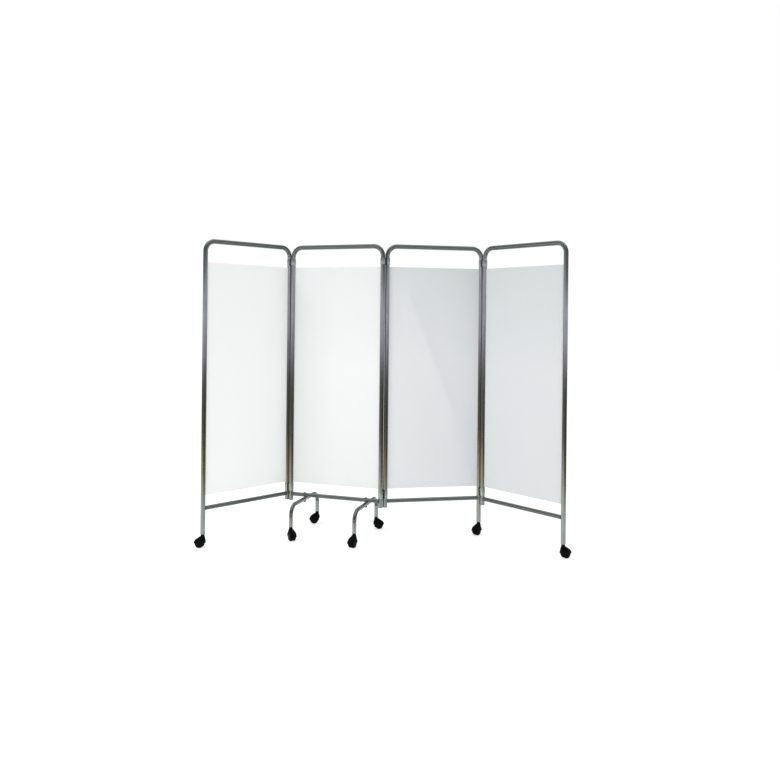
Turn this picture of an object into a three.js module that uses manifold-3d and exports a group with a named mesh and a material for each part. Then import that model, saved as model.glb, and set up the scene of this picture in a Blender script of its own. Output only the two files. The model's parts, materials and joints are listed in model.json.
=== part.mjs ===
// A four-panel ward privacy screen on castors, in millimetres, +Z up, +X to the right and +Y away from
// the viewer. Four chromed tube frames stand in a zig-zag, joined by twin-ring hinge clips. Each frame
// holds a white sheet in slits down its two uprights. The second panel stands on two bow feet.
import * as THREE from "three";
import { mergeVertices } from "three/addons/utils/BufferGeometryUtils.js";
import Module from "manifold-3d";

const wasm = await Module();
wasm.setup();

// Frame tubes
const FRAME_HEIGHT = 1645; // floor to the top of the top bar
const FRAME_PITCH = 545; // axis to axis of a frame's two uprights
const TUBE_DIAMETER = 25;
const TUBE_WALL = 1.5;
const TOP_BEND_RADIUS = 55; // at the tube's centre line
const RAIL_DIAMETER = 22;
const RAIL_WALL = 1.5;
const RAIL_HEIGHT = 210; // floor to the lower rail's axis
const STUB_LENGTH = 32; // rail axis down to the end of a short upright
const VENT_DIAMETER = 6; // plating vent from an upright into the rail

// Sheets and the slits that hold them
const SHEET_LIFT = 6; // between the lower clips and the sheet
const SHEET_DROP = 127; // from the top of the frame down to the sheet
const SHEET_THICKNESS = 1.2;
const BEAD_DIAMETER = 6;
const BEAD_GAP = 1; // between the bead and the wall of the upright that it is in
const SLIT_WIDTH = 2.4; // the slit in an upright that the sheet comes out of
const SLIT_OVERRUN = 1.5; // the slit runs on past the sheet by this much
const BEAD_ENTRY_DIAMETER = 7; // the hole at the slit's top that the bead goes in by

// Hinge clips
const HINGE_PITCH = 28; // between the axes of two neighbouring uprights
const CLIP_WALL = 1.5;
const CLIP_WAIST = 18; // width of the clip between its two rings
const UPPER_CLIP_DROP = 79; // from the top of the frame down to the upper clips
const UPPER_CLIP_HEIGHT = 35;
const LOWER_CLIP_LIFT = 6; // between the lower rail and the lower clips
const LOWER_CLIP_HEIGHT = 45;

// Bow feet under the second panel
const BOW_DIAMETER = 22;
const BOW_WALL = 1.5;
const BOW_SPAN = 370; // between the axes of a bow's two legs
const BOW_BEND_RADIUS = 55;
const BOW_INSET = 86; // from an upright's axis to the bow's axis
const BOW_DROP = 0.5; // clear space between the lower rail and the bow
const BOLT_DIAMETER = 8;
const BOLT_HEAD_DIAMETER = 16;
const BOLT_HEAD_HEIGHT = 4;
const BOLT_CROWN_SHARES = [
  [1, 0.25],
  [0.7, 0.8],
]; // corners of the domed head, as shares of its radius and height
const NUT_ACROSS_CORNERS = 14.6;
const NUT_HEIGHT = 9;
const NUT_FLANGE_DIAMETER = 17;
const NUT_FLANGE_HEIGHT = 1.6;
const NUT_DOME_WALL = 1.6;

// Castors
const CASTOR_HEIGHT = 75; // floor to the end of the leg
const CASTOR_TRAIL = 17; // stem axis to wheel axle
const WHEEL_DIAMETER = 48;
const WHEEL_FACE_GAP = 4.2; // from the castor's middle plane to a wheel's inner face
const WHEEL_WIDTH = 13.8;
const WHEEL_HUB_DIAMETER = 16;
const WHEEL_CAP_WALL = 1.7;
const TREAD_EDGE = 6.4; // from a wheel's outer face back to the edge of its flat tread
const SHOULDER_DROP = 4.5; // how far a wheel's rounded shoulder comes in from its tread
const SHOULDER_EDGE = 1.3; // from a wheel's outer face back to the end of its shoulder
const AXLE_DIAMETER = 6;
const WEB_THICKNESS = 7;
const WEB_FOOT_HEIGHT = 15;
const HOOD_GAP = 1.6; // between a wheel and the hood over it
const HOOD_EDGE_HEIGHT = 25; // the hood's lower edge above the floor
const FRONT_DIAMETER = 32; // the round front of the housing, about the stem
const FRONT_HEIGHT = 40; // floor to the middle of the round front
const FRONT_RINGS = 7;
const NECK_DIAMETER = 21;
const DOME_TOP_HEIGHT = 64; // floor to where the dome's shoulders leave the neck
const DOME_NECK_LENGTH = 9; // of the neck, from the top of the dome down
const STEM_DIAMETER = 8;
const STEM_DEPTH = 27; // how far the stem reaches down into the housing
const COLLAR_HEIGHT = 1.8;
const INSERT_LENGTH = 28;

// Half of the hood's section as [out from the wheel's clearance, out from the wheel's outer face]
const HOOD_INSIDE = [
  [-6.4, 0.4],
  [0, -5.1],
];
const HOOD_OUTSIDE = [
  [2.6, -7.7],
  [0.2, -1.3],
  [-4.5, 1.8],
];

// Plugs in the ends of the short uprights
const PLUG_HEAD_HEIGHT = 3;
const PLUG_LENGTH = 18;
const PLUG_FOOT_SHARE = 0.8; // of the tube's radius
const PLUG_TAPER_SHARE = 0.85; // of the plug's radius and length, where its end tapers

// Fits
const FIT_GAP = 0.3;
const SWIVEL_GAP = 0.4;
const CUT_OVERRUN = 2;
const CUT_BLOCK = 200; // side of the blocks that cut a castor's pieces off level

// How fine round shapes are
const TUBE_SIDES = 12;
const BEND_STEPS = 5;
const WHEEL_SIDES = 16;
const SMALL_SIDES = 8;
const CLIP_ARC_STEPS = 6;
const SHEET_COLUMNS = 6;
const SHEET_ROWS = 10;

// The zig-zag: headings from +X, in degrees, of each panel and of each hinge between two panels
const PANEL_HEADINGS = [43.2, -17.6, 10.6, -47.3];
const HINGE_HEADINGS = [-29, 25, -50];

// Which way each castor trails, from +X, in degrees
const CASTOR_HEADINGS = {
  outer_left: 165,
  bow_left_front: 300,
  bow_left_rear: 180,
  bow_right_front: 240,
  bow_right_rear: 30,
  middle: 225,
  outer_right: 30,
};

// A soft crease in each sheet: its two ends as shares of the sheet's width and height, its depth and
// how broad it is
const SHEET_CREASES = [
  { from_shares: [0.05, 0.95], to_shares: [0.28, 0.5], depth: 2.5, breadth: 45 },
  { from_shares: [0.1, 0.97], to_shares: [0.95, 0.7], depth: 1.2, breadth: 80 },
  { from_shares: [0.19, 0.87], to_shares: [0.97, 0.05], depth: 6, breadth: 70 },
  { from_shares: [0.95, 0.95], to_shares: [0.5, 0.3], depth: 2, breadth: 70 },
];

const tubeRadius = TUBE_DIAMETER / 2;
const boreRadius = tubeRadius - TUBE_WALL;
const topAxis = FRAME_HEIGHT - tubeRadius;
const railRadius = RAIL_DIAMETER / 2;
const bowRadius = BOW_DIAMETER / 2;
const bowBoreRadius = bowRadius - BOW_WALL;
const bowAxis = RAIL_HEIGHT - railRadius - BOW_DROP - bowRadius;
const stubEnd = RAIL_HEIGHT - STUB_LENGTH;
const upperClipBottom = FRAME_HEIGHT - UPPER_CLIP_DROP - UPPER_CLIP_HEIGHT;
const lowerClipBottom = RAIL_HEIGHT + railRadius + LOWER_CLIP_LIFT;
const sheetBottom = lowerClipBottom + LOWER_CLIP_HEIGHT + SHEET_LIFT;
const sheetTop = FRAME_HEIGHT - SHEET_DROP;
const wheelRadius = WHEEL_DIAMETER / 2;

// The radius of a many-sided shape's corners when its flats lie on a circle of the given radius. Holes
// use it, so that a round piece of the true size passes through them.
const aroundCircle = (radius, sides) => radius / Math.cos(Math.PI / sides);

const chrome = () => new THREE.MeshStandardMaterial({ color: 0xc9cdd0, roughness: 0.12, metalness: 1 });
const sheetCloth = () => new THREE.MeshStandardMaterial({ color: 0xeef0f1, roughness: 0.75, metalness: 0 });
const clipSteel = () => new THREE.MeshStandardMaterial({ color: 0xa9b0b2, roughness: 0.25, metalness: 1 });
const blackPlastic = () => new THREE.MeshStandardMaterial({ color: 0x0d0e10, roughness: 0.4, metalness: 0 });
const greyPlastic = () => new THREE.MeshStandardMaterial({ color: 0x3a3e40, roughness: 0.5, metalness: 0 });
const zincSteel = () => new THREE.MeshStandardMaterial({ color: 0xb8bcbc, roughness: 0.35, metalness: 1 });

// A three.js geometry as a solid that can be joined and cut.
function toSolid(geometry) {
  const bare = geometry.clone();
  bare.deleteAttribute("normal");
  bare.deleteAttribute("uv");
  const merged = mergeVertices(bare, 1e-3);
  return new wasm.Manifold(
    new wasm.Mesh({
      numProp: 3,
      vertProperties: new Float32Array(merged.attributes.position.array),
      triVerts: new Uint32Array(merged.index.array),
    }),
  );
}

// A solid back as a three.js geometry with flat faces.
function toGeometry(solid) {
  const mesh = solid.getMesh();
  const geometry = new THREE.BufferGeometry();
  geometry.setAttribute("position", new THREE.BufferAttribute(new Float32Array(mesh.vertProperties), 3));
  geometry.setIndex(new THREE.BufferAttribute(new Uint32Array(mesh.triVerts), 1));
  geometry.computeVertexNormals();
  return geometry;
}

// A curve through a few stations, straight between them, so that a swept tube has rings only there.
class StationCurve extends THREE.Curve {
  constructor(stations) {
    super();
    this.stations = stations;
  }

  getPoint(t) {
    const last = this.stations.length - 1;
    const along = THREE.MathUtils.clamp(t, 0, 1) * last;
    const index = Math.min(Math.floor(along), last - 1);
    return this.stations[index].clone().lerp(this.stations[index + 1], along - index);
  }

  getPointAt(u) {
    return this.getPoint(u);
  }
}

// The stations of an upside-down U in the plane y = 0: up one leg, round two bends, down the other.
function archStations(span, top, leftEnd, rightEnd, bendRadius) {
  const stations = [new THREE.Vector3(0, 0, leftEnd)];
  const bends = [
    { x: bendRadius, start: Math.PI },
    { x: span - bendRadius, start: Math.PI / 2 },
  ];
  for (const bend of bends) {
    for (let step = 0; step <= BEND_STEPS; step += 1) {
      const angle = bend.start - (step / BEND_STEPS) * (Math.PI / 2);
      const x = bend.x + bendRadius * Math.cos(angle);
      const z = top - bendRadius + bendRadius * Math.sin(angle);
      stations.push(new THREE.Vector3(x, 0, z));
    }
  }
  stations.push(new THREE.Vector3(span, 0, rightEnd));
  return stations;
}

// A round bar with its corners on the given radius, swept through the stations.
function sweptBar(stations, radius) {
  const section = new THREE.Shape().absarc(0, 0, radius, 0, 2 * Math.PI);
  const geometry = new THREE.ExtrudeGeometry(section, {
    extrudePath: new StationCurve(stations),
    steps: stations.length - 1,
    curveSegments: TUBE_SIDES / 2,
  });
  return toSolid(geometry);
}

// A cylinder about Z between two heights.
function post(radius, bottom, top, sides = SMALL_SIDES) {
  const geometry = new THREE.CylinderGeometry(radius, radius, top - bottom, sides);
  geometry.rotateX(Math.PI / 2);
  geometry.translate(0, 0, (top + bottom) / 2);
  return toSolid(geometry);
}

// A hole about Z between two heights, whose flats lie on the given radius.
function roundHole(radius, bottom, top, sides = SMALL_SIDES) {
  return post(aroundCircle(radius, sides), bottom, top, sides);
}

// A cylinder about the line y = 0, z = height, from one x to another.
function crossBar(radius, from, to, height, sides) {
  const geometry = new THREE.CylinderGeometry(radius, radius, to - from, sides);
  geometry.rotateZ(Math.PI / 2);
  geometry.rotateX(Math.PI / sides);
  geometry.translate((from + to) / 2, 0, height);
  return toSolid(geometry);
}

// What is cut from an upright at x = 0 for its sheet: the slit, and the round hole at its top that the
// sheet's bead goes in by. side is +1 when the slit faces +X.
function sheetSlit(side) {
  const from = boreRadius / 2;
  const to = tubeRadius + CUT_OVERRUN;
  const bottom = sheetBottom - SLIT_OVERRUN;
  const top = sheetTop + SLIT_OVERRUN;
  const slit = new THREE.BoxGeometry(to - from, SLIT_WIDTH, top - bottom);
  slit.translate((from + to) / 2, 0, (bottom + top) / 2);
  const entryRadius = BEAD_ENTRY_DIAMETER / 2;
  const entry = crossBar(
    aroundCircle(entryRadius, SMALL_SIDES),
    from,
    to,
    top + entryRadius - SLIT_OVERRUN,
    SMALL_SIDES,
  );
  return toSolid(slit)
    .add(entry)
    .rotate([0, 0, side > 0 ? 0 : 180]);
}

// A welded frame: U tube with two slits, and lower rail. leftEnd and rightEnd are the heights of the
// ends of its uprights, and boltPlaces are where bolts pass down through its rail.
function frameGeometry(leftEnd, rightEnd, boltPlaces) {
  const arch = archStations(FRAME_PITCH, topAxis, leftEnd, rightEnd, TOP_BEND_RADIUS);
  const bore = archStations(
    FRAME_PITCH,
    topAxis,
    leftEnd - CUT_OVERRUN,
    rightEnd - CUT_OVERRUN,
    TOP_BEND_RADIUS,
  );
  const railBore = crossBar(
    railRadius - RAIL_WALL,
    tubeRadius,
    FRAME_PITCH - tubeRadius,
    RAIL_HEIGHT,
    TUBE_SIDES,
  );
  const ventStart = boreRadius / 2;
  const vents = crossBar(
    VENT_DIAMETER / 2,
    ventStart,
    FRAME_PITCH - ventStart,
    RAIL_HEIGHT,
    SMALL_SIDES,
  );
  let frame = sweptBar(arch, tubeRadius)
    .add(crossBar(railRadius, 0, FRAME_PITCH, RAIL_HEIGHT, TUBE_SIDES))
    .subtract(sweptBar(bore, aroundCircle(boreRadius, TUBE_SIDES)))
    .subtract(railBore)
    .subtract(vents)
    .subtract(sheetSlit(1))
    .subtract(sheetSlit(-1).translate([FRAME_PITCH, 0, 0]));
  const holeRadius = BOLT_DIAMETER / 2 + FIT_GAP;
  for (const place of boltPlaces) {
    const hole = roundHole(holeRadius, RAIL_HEIGHT - RAIL_DIAMETER, RAIL_HEIGHT + RAIL_DIAMETER);
    frame = frame.subtract(hole.translate([place, 0, 0]));
  }
  return toGeometry(frame);
}

// How far a sheet stands out of its plane at a place given as shares of its width and height.
function creaseDepth(crease, width, across, up) {
  const height = sheetTop - sheetBottom;
  const start = new THREE.Vector2(crease.from_shares[0] * width, crease.from_shares[1] * height);
  const end = new THREE.Vector2(crease.to_shares[0] * width, crease.to_shares[1] * height);
  const line = end.clone().sub(start);
  const place = new THREE.Vector2(across * width, up * height).sub(start);
  const along = THREE.MathUtils.clamp(place.dot(line) / line.lengthSq(), 0, 1);
  const away = place.sub(line.multiplyScalar(along)).length();
  const heldAtSides = Math.sin(Math.PI * across);
  return crease.depth * heldAtSides * Math.exp(-((away / crease.breadth) ** 2));
}

// A sheet with a bead along both side edges, from the left upright's axis. Its beads are in the bores
// of the uprights. The facets of its back are split the same way as those of its front, so that the
// sheet is equally thick all over.
function sheetGeometry(crease) {
  const beadRadius = BEAD_DIAMETER / 2;
  const beadAxis = boreRadius - BEAD_GAP - beadRadius;
  const width = FRAME_PITCH - 2 * tubeRadius;
  const half = SHEET_THICKNESS / 2;
  const columns = [
    { x: beadAxis - beadRadius, half: beadRadius / 2, across: 0 },
    { x: beadAxis, half: beadRadius, across: 0 },
    { x: beadAxis + beadRadius, half, across: 0 },
  ];
  for (let column = 0; column <= SHEET_COLUMNS; column += 1) {
    const across = column / SHEET_COLUMNS;
    columns.push({ x: tubeRadius + across * width, half, across });
  }
  columns.push({ x: FRAME_PITCH - beadAxis - beadRadius, half, across: 1 });
  columns.push({ x: FRAME_PITCH - beadAxis, half: beadRadius, across: 1 });
  columns.push({ x: FRAME_PITCH - beadAxis + beadRadius, half: beadRadius / 2, across: 1 });

  const positions = [];
  const ringSize = 2 * columns.length;
  for (let row = 0; row <= SHEET_ROWS; row += 1) {
    const up = row / SHEET_ROWS;
    const z = sheetBottom + up * (sheetTop - sheetBottom);
    const front = columns.map((c) => [c.x, -creaseDepth(crease, width, c.across, up) - c.half, z]);
    const back = columns.map((c) => [c.x, -creaseDepth(crease, width, c.across, up) + c.half, z]);
    positions.push(...front, ...back.reverse());
  }
  const indices = [];
  for (let row = 0; row < SHEET_ROWS; row += 1) {
    for (let side = 0; side < ringSize; side += 1) {
      const a = row * ringSize + side;
      const b = row * ringSize + ((side + 1) % ringSize);
      if (side < columns.length) {
        indices.push(a, b, b + ringSize, a, b + ringSize, a + ringSize);
      } else {
        indices.push(a, b, a + ringSize, b, b + ringSize, a + ringSize);
      }
    }
  }
  for (let column = 0; column < columns.length - 1; column += 1) {
    const front = column;
    const back = ringSize - 1 - column;
    const top = SHEET_ROWS * ringSize;
    indices.push(front, back, back - 1, front, back - 1, front + 1);
    indices.push(top + front, top + back - 1, top + back, top + front, top + front + 1, top + back - 1);
  }
  const geometry = new THREE.BufferGeometry();
  geometry.setAttribute("position", new THREE.Float32BufferAttribute(positions.flat(), 3));
  geometry.setIndex(indices);
  geometry.computeVertexNormals();
  return geometry;
}

// A twin-ring clip round two uprights, the first at the origin and the second at x = HINGE_PITCH.
function clipGeometry(bottom, height) {
  const ring = tubeRadius + FIT_GAP + CLIP_WALL;
  const waist = Math.asin(CLIP_WAIST / 2 / ring);
  const outline = new THREE.Shape();
  outline.absarc(0, 0, ring, waist, 2 * Math.PI - waist);
  outline.absarc(HINGE_PITCH, 0, ring, waist - Math.PI, Math.PI - waist);
  outline.closePath();
  for (const x of [0, HINGE_PITCH]) {
    const bore = aroundCircle(tubeRadius + FIT_GAP, 2 * CLIP_ARC_STEPS);
    const hole = new THREE.Path().absarc(x, 0, bore, 0, 2 * Math.PI, true);
    outline.holes.push(hole);
  }
  const geometry = new THREE.ExtrudeGeometry(outline, {
    depth: height,
    bevelEnabled: false,
    curveSegments: CLIP_ARC_STEPS,
  });
  geometry.translate(0, 0, bottom);
  return geometry;
}

// A bow foot: an upside-down U of tube with its middle at the origin, its legs at y = -span/2 and
// +span/2, and a bolt hole through the middle of its top.
function bowGeometry() {
  const outer = archStations(BOW_SPAN, bowAxis, CASTOR_HEIGHT, CASTOR_HEIGHT, BOW_BEND_RADIUS);
  const boreEnd = CASTOR_HEIGHT - CUT_OVERRUN;
  const bore = archStations(BOW_SPAN, bowAxis, boreEnd, boreEnd, BOW_BEND_RADIUS);
  const hole = roundHole(BOLT_DIAMETER / 2 + FIT_GAP, bowAxis - BOW_DIAMETER, bowAxis + BOW_DIAMETER);
  const bow = sweptBar(outer, bowRadius)
    .subtract(sweptBar(bore, aroundCircle(bowBoreRadius, TUBE_SIDES)))
    .subtract(hole.translate([BOW_SPAN / 2, 0, 0]))
    .translate([-BOW_SPAN / 2, 0, 0])
    .rotate([0, 0, 90]);
  return toGeometry(bow);
}

// A lathe-turned piece about Z, from [radius, height] pairs that start and end on the axis, bottom first.
function turned(profile, sides) {
  const points = profile.map(([radius, height]) => new THREE.Vector2(radius, height));
  const geometry = new THREE.LatheGeometry(points, sides);
  geometry.rotateX(Math.PI / 2);
  return geometry;
}

// The domed bolt that holds a bow foot to the rail.
function boltGeometry() {
  const seat = RAIL_HEIGHT + railRadius + FIT_GAP;
  const head = BOLT_HEAD_DIAMETER / 2;
  const shank = BOLT_DIAMETER / 2;
  const end = bowAxis - bowRadius - FIT_GAP - NUT_HEIGHT + NUT_DOME_WALL + FIT_GAP;
  const profile = [
    [0, end],
    [shank, end],
    [shank, seat],
    [head, seat],
    ...BOLT_CROWN_SHARES.map(([out, up]) => [head * out, seat + BOLT_HEAD_HEIGHT * up]),
    [0, seat + BOLT_HEAD_HEIGHT],
  ];
  return turned(profile, SMALL_SIDES);
}

// The flanged cap nut under a bow foot.
function nutGeometry() {
  const top = bowAxis - bowRadius - FIT_GAP;
  const flange = post(NUT_FLANGE_DIAMETER / 2, top - NUT_FLANGE_HEIGHT, top);
  const hex = post(NUT_ACROSS_CORNERS / 2, top - NUT_HEIGHT, top - NUT_FLANGE_HEIGHT / 2, 6);
  const bore = roundHole(BOLT_DIAMETER / 2 + FIT_GAP, top - NUT_HEIGHT + NUT_DOME_WALL, top + CUT_OVERRUN);
  return toGeometry(flange.add(hex).subtract(bore));
}

// The plastic plug in the end of a short upright.
function plugGeometry() {
  const seat = stubEnd - FIT_GAP;
  const inside = boreRadius - FIT_GAP;
  const profile = [
    [0, seat - PLUG_HEAD_HEIGHT],
    [tubeRadius * PLUG_FOOT_SHARE, seat - PLUG_HEAD_HEIGHT],
    [tubeRadius, seat - PLUG_HEAD_HEIGHT / 2],
    [tubeRadius, seat],
    [inside, seat],
    [inside, seat + PLUG_LENGTH * PLUG_TAPER_SHARE],
    [inside * PLUG_TAPER_SHARE, seat + PLUG_LENGTH],
    [0, seat + PLUG_LENGTH],
  ];
  return turned(profile, TUBE_SIDES);
}

// A castor's stem with the insert that fills the end of its leg.
function stemGeometry(legRadius, legBoreRadius) {
  const seat = CASTOR_HEIGHT - FIT_GAP;
  const inside = legBoreRadius - FIT_GAP;
  const stem = STEM_DIAMETER / 2;
  const profile = [
    [0, seat - COLLAR_HEIGHT - STEM_DEPTH],
    [stem, seat - COLLAR_HEIGHT - STEM_DEPTH],
    [stem, seat - COLLAR_HEIGHT],
    [legRadius, seat - COLLAR_HEIGHT],
    [legRadius, seat],
    [inside, seat],
    [inside, seat + INSERT_LENGTH],
    [0, seat + INSERT_LENGTH],
  ];
  return turned(profile, TUBE_SIDES);
}

// One wheel of a twin castor, on the +Y side, with its tread's flat facets wheelRadius from the axle.
function wheelGeometry() {
  const rim = aroundCircle(wheelRadius, WHEEL_SIDES);
  const inner = WHEEL_FACE_GAP;
  const outer = WHEEL_FACE_GAP + WHEEL_WIDTH;
  const bore = aroundCircle(AXLE_DIAMETER / 2 + FIT_GAP, WHEEL_SIDES);
  const profile = [
    [0, outer - WHEEL_CAP_WALL],
    [bore, outer - WHEEL_CAP_WALL],
    [bore, inner],
    [rim, inner],
    [rim, outer - TREAD_EDGE],
    [rim - SHOULDER_DROP, outer - SHOULDER_EDGE],
    [WHEEL_HUB_DIAMETER / 2, outer],
    [0, outer],
  ];
  const points = profile.map(([radius, along]) => new THREE.Vector2(radius, along));
  const geometry = new THREE.LatheGeometry(points, WHEEL_SIDES);
  geometry.rotateY(Math.PI / WHEEL_SIDES);
  geometry.translate(CASTOR_TRAIL, 0, wheelRadius);
  return geometry;
}

// The steel pin that both wheels turn on.
function axleGeometry() {
  const length = 2 * (WHEEL_FACE_GAP + WHEEL_WIDTH - WHEEL_CAP_WALL - FIT_GAP);
  const geometry = new THREE.CylinderGeometry(AXLE_DIAMETER / 2, AXLE_DIAMETER / 2, length, SMALL_SIDES);
  geometry.translate(CASTOR_TRAIL, 0, wheelRadius);
  return geometry;
}

// How far from the axle the housing stays clear of a wheel, at its corners.
function wheelClearance() {
  return aroundCircle(aroundCircle(wheelRadius, WHEEL_SIDES) + HOOD_GAP, WHEEL_SIDES);
}

// A geometry made about the Y axis, moved to the axle with its facets in line with the wheel's.
function aboutAxle(geometry) {
  geometry.rotateY(Math.PI / WHEEL_SIDES);
  geometry.translate(CASTOR_TRAIL, 0, wheelRadius);
  return toSolid(geometry);
}

// A large block with its top face at the given height.
function blockBelow(height) {
  const block = new THREE.BoxGeometry(CUT_BLOCK, CUT_BLOCK, CUT_BLOCK);
  block.translate(0, 0, height - CUT_BLOCK / 2);
  return toSolid(block);
}

// The curved hood that lies over both wheels.
function hoodSolid() {
  const outerFace = WHEEL_FACE_GAP + WHEEL_WIDTH;
  const placed = (pairs) => pairs.map(([out, past]) => [wheelClearance() + out, outerFace + past]);
  const mirrored = (pairs) => pairs.map(([radius, along]) => [radius, -along]).reverse();
  const inside = placed(HOOD_INSIDE);
  const outside = placed(HOOD_OUTSIDE);
  const loop = [...inside, ...mirrored(inside), ...mirrored(outside), ...outside];
  const points = [...loop, loop[0]].map(([radius, along]) => new THREE.Vector2(radius, along));
  return aboutAxle(new THREE.LatheGeometry(points, WHEEL_SIDES)).subtract(blockBelow(HOOD_EDGE_HEIGHT));
}

// The housing's dome with the neck above it: smooth shoulders that run from the neck down over the
// round front and the hood, cut away where the wheels turn.
function domeSolid(neckTop) {
  const profile = [];
  for (let ring = 0; ring <= FRONT_RINGS; ring += 1) {
    const angle = (ring / FRONT_RINGS) * Math.PI;
    const radius = ring % FRONT_RINGS === 0 ? 0 : (FRONT_DIAMETER / 2) * Math.sin(angle);
    profile.push([radius, FRONT_HEIGHT - (FRONT_DIAMETER / 2) * Math.cos(angle)]);
  }
  const neck = (top) => {
    const bottom = DOME_TOP_HEIGHT - DOME_NECK_LENGTH;
    const radius = NECK_DIAMETER / 2;
    return toSolid(turned([[0, bottom], [radius, bottom], [radius, top], [0, top]], TUBE_SIDES));
  };
  let dome = hoodSolid()
    .add(toSolid(turned(profile, TUBE_SIDES)))
    .add(neck(DOME_TOP_HEIGHT))
    .hull()
    .subtract(blockBelow(HOOD_EDGE_HEIGHT))
    .add(neck(neckTop));
  const clearance = wheelClearance();
  for (const side of [-1, 1]) {
    const space = new THREE.CylinderGeometry(clearance, clearance, WHEEL_DIAMETER, WHEEL_SIDES);
    space.translate(0, (side * (WEB_THICKNESS + WHEEL_DIAMETER)) / 2, 0);
    dome = dome.subtract(aboutAxle(space));
  }
  return dome;
}

// The castor's housing: a middle web, the hood and the dome, bored for the stem and the axle.
function housingGeometry() {
  const neckTop = CASTOR_HEIGHT - FIT_GAP - COLLAR_HEIGHT - SWIVEL_GAP;
  const boreFloor = neckTop - STEM_DEPTH;
  const webRadius = wheelClearance() + HOOD_GAP / 2;
  const web = aboutAxle(new THREE.CylinderGeometry(webRadius, webRadius, WEB_THICKNESS, WHEEL_SIDES));
  const axleBoreRadius = aroundCircle(AXLE_DIAMETER / 2 + FIT_GAP, SMALL_SIDES);
  const axleBore = new THREE.CylinderGeometry(axleBoreRadius, axleBoreRadius, 2 * WEB_THICKNESS, SMALL_SIDES);
  axleBore.translate(CASTOR_TRAIL, 0, wheelRadius);
  const housing = hoodSolid()
    .add(web.subtract(blockBelow(WEB_FOOT_HEIGHT)))
    .add(domeSolid(neckTop))
    .subtract(roundHole(STEM_DIAMETER / 2 + SWIVEL_GAP, boreFloor, neckTop + CUT_OVERRUN))
    .subtract(toSolid(axleBore));
  return toGeometry(housing);
}

// A named mesh with its own material.
function piece(name, geometry, material) {
  const mesh = new THREE.Mesh(geometry, material);
  mesh.name = name;
  return mesh;
}

// A castor with its five pieces, its stem at the group's origin, trailing towards its heading.
function castor(name, legRadius, legBoreRadius, heading) {
  const group = new THREE.Group();
  group.name = `castor_${name}`;
  group.rotation.z = THREE.MathUtils.degToRad(heading);
  const farWheel = wheelGeometry();
  farWheel.rotateZ(Math.PI);
  farWheel.translate(2 * CASTOR_TRAIL, 0, 0);
  group.add(
    piece(`castor_${name}_stem`, stemGeometry(legRadius, legBoreRadius), zincSteel()),
    piece(`castor_${name}_housing`, housingGeometry(), blackPlastic()),
    piece(`castor_${name}_axle`, axleGeometry(), zincSteel()),
    piece(`castor_${name}_wheel_left`, wheelGeometry(), blackPlastic()),
    piece(`castor_${name}_wheel_right`, farWheel, blackPlastic()),
  );
  return group;
}

// A castor under an upright, at x along its panel.
function legCastor(name, x, panelHeading) {
  const group = castor(name, tubeRadius, boreRadius, CASTOR_HEADINGS[name] - panelHeading);
  group.position.x = x;
  return group;
}

// A plug in the end of a short upright, at x along its panel.
function endPlug(name, x) {
  const plug = piece(name, plugGeometry(), greyPlastic());
  plug.position.x = x;
  return plug;
}

// A bow foot across the rail at x along the second panel, with its bolt, nut and two castors.
function bowFoot(side, x, panelHeading) {
  const group = new THREE.Group();
  group.name = `bow_foot_${side}`;
  group.position.x = x;
  group.add(
    piece(`bow_${side}`, bowGeometry(), chrome()),
    piece(`bow_${side}_bolt`, boltGeometry(), zincSteel()),
    piece(`bow_${side}_nut`, nutGeometry(), zincSteel()),
  );
  for (const [end, sign] of [["front", -1], ["rear", 1]]) {
    const name = `bow_${side}_${end}`;
    const wheels = castor(name, bowRadius, bowBoreRadius, CASTOR_HEADINGS[name] - panelHeading);
    wheels.position.y = (sign * BOW_SPAN) / 2;
    group.add(wheels);
  }
  return group;
}

// The four panels, from left to right, each in its own frame with its left upright at the origin.
function panels() {
  const leg = CASTOR_HEIGHT;
  const bolts = [BOW_INSET, FRAME_PITCH - BOW_INSET];
  const layout = [
    { leftEnd: leg, rightEnd: stubEnd, boltPlaces: [] },
    { leftEnd: stubEnd, rightEnd: stubEnd, boltPlaces: bolts },
    { leftEnd: stubEnd, rightEnd: leg, boltPlaces: [] },
    { leftEnd: stubEnd, rightEnd: leg, boltPlaces: [] },
  ];
  return layout.map(({ leftEnd, rightEnd, boltPlaces }, index) => {
    const group = new THREE.Group();
    const number = index + 1;
    group.name = `panel_${number}`;
    group.rotation.z = THREE.MathUtils.degToRad(PANEL_HEADINGS[index]);
    group.add(
      piece(`frame_${number}`, frameGeometry(leftEnd, rightEnd, boltPlaces), chrome()),
      piece(`sheet_${number}`, sheetGeometry(SHEET_CREASES[index]), sheetCloth()),
    );
    if (leftEnd === stubEnd) group.add(endPlug(`end_plug_${number}_left`, 0));
    if (rightEnd === stubEnd) group.add(endPlug(`end_plug_${number}_right`, FRAME_PITCH));
    return group;
  });
}

// The two clips of the hinge between panel number and the next one.
function hinge(number) {
  const group = new THREE.Group();
  group.name = `hinge_${number}_${number + 1}`;
  group.rotation.z = THREE.MathUtils.degToRad(HINGE_HEADINGS[number - 1]);
  const upper = clipGeometry(upperClipBottom, UPPER_CLIP_HEIGHT);
  const lower = clipGeometry(lowerClipBottom, LOWER_CLIP_HEIGHT);
  group.add(
    piece(`hinge_clip_${number}_${number + 1}_upper`, upper, clipSteel()),
    piece(`hinge_clip_${number}_${number + 1}_lower`, lower, clipSteel()),
  );
  return group;
}

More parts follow.
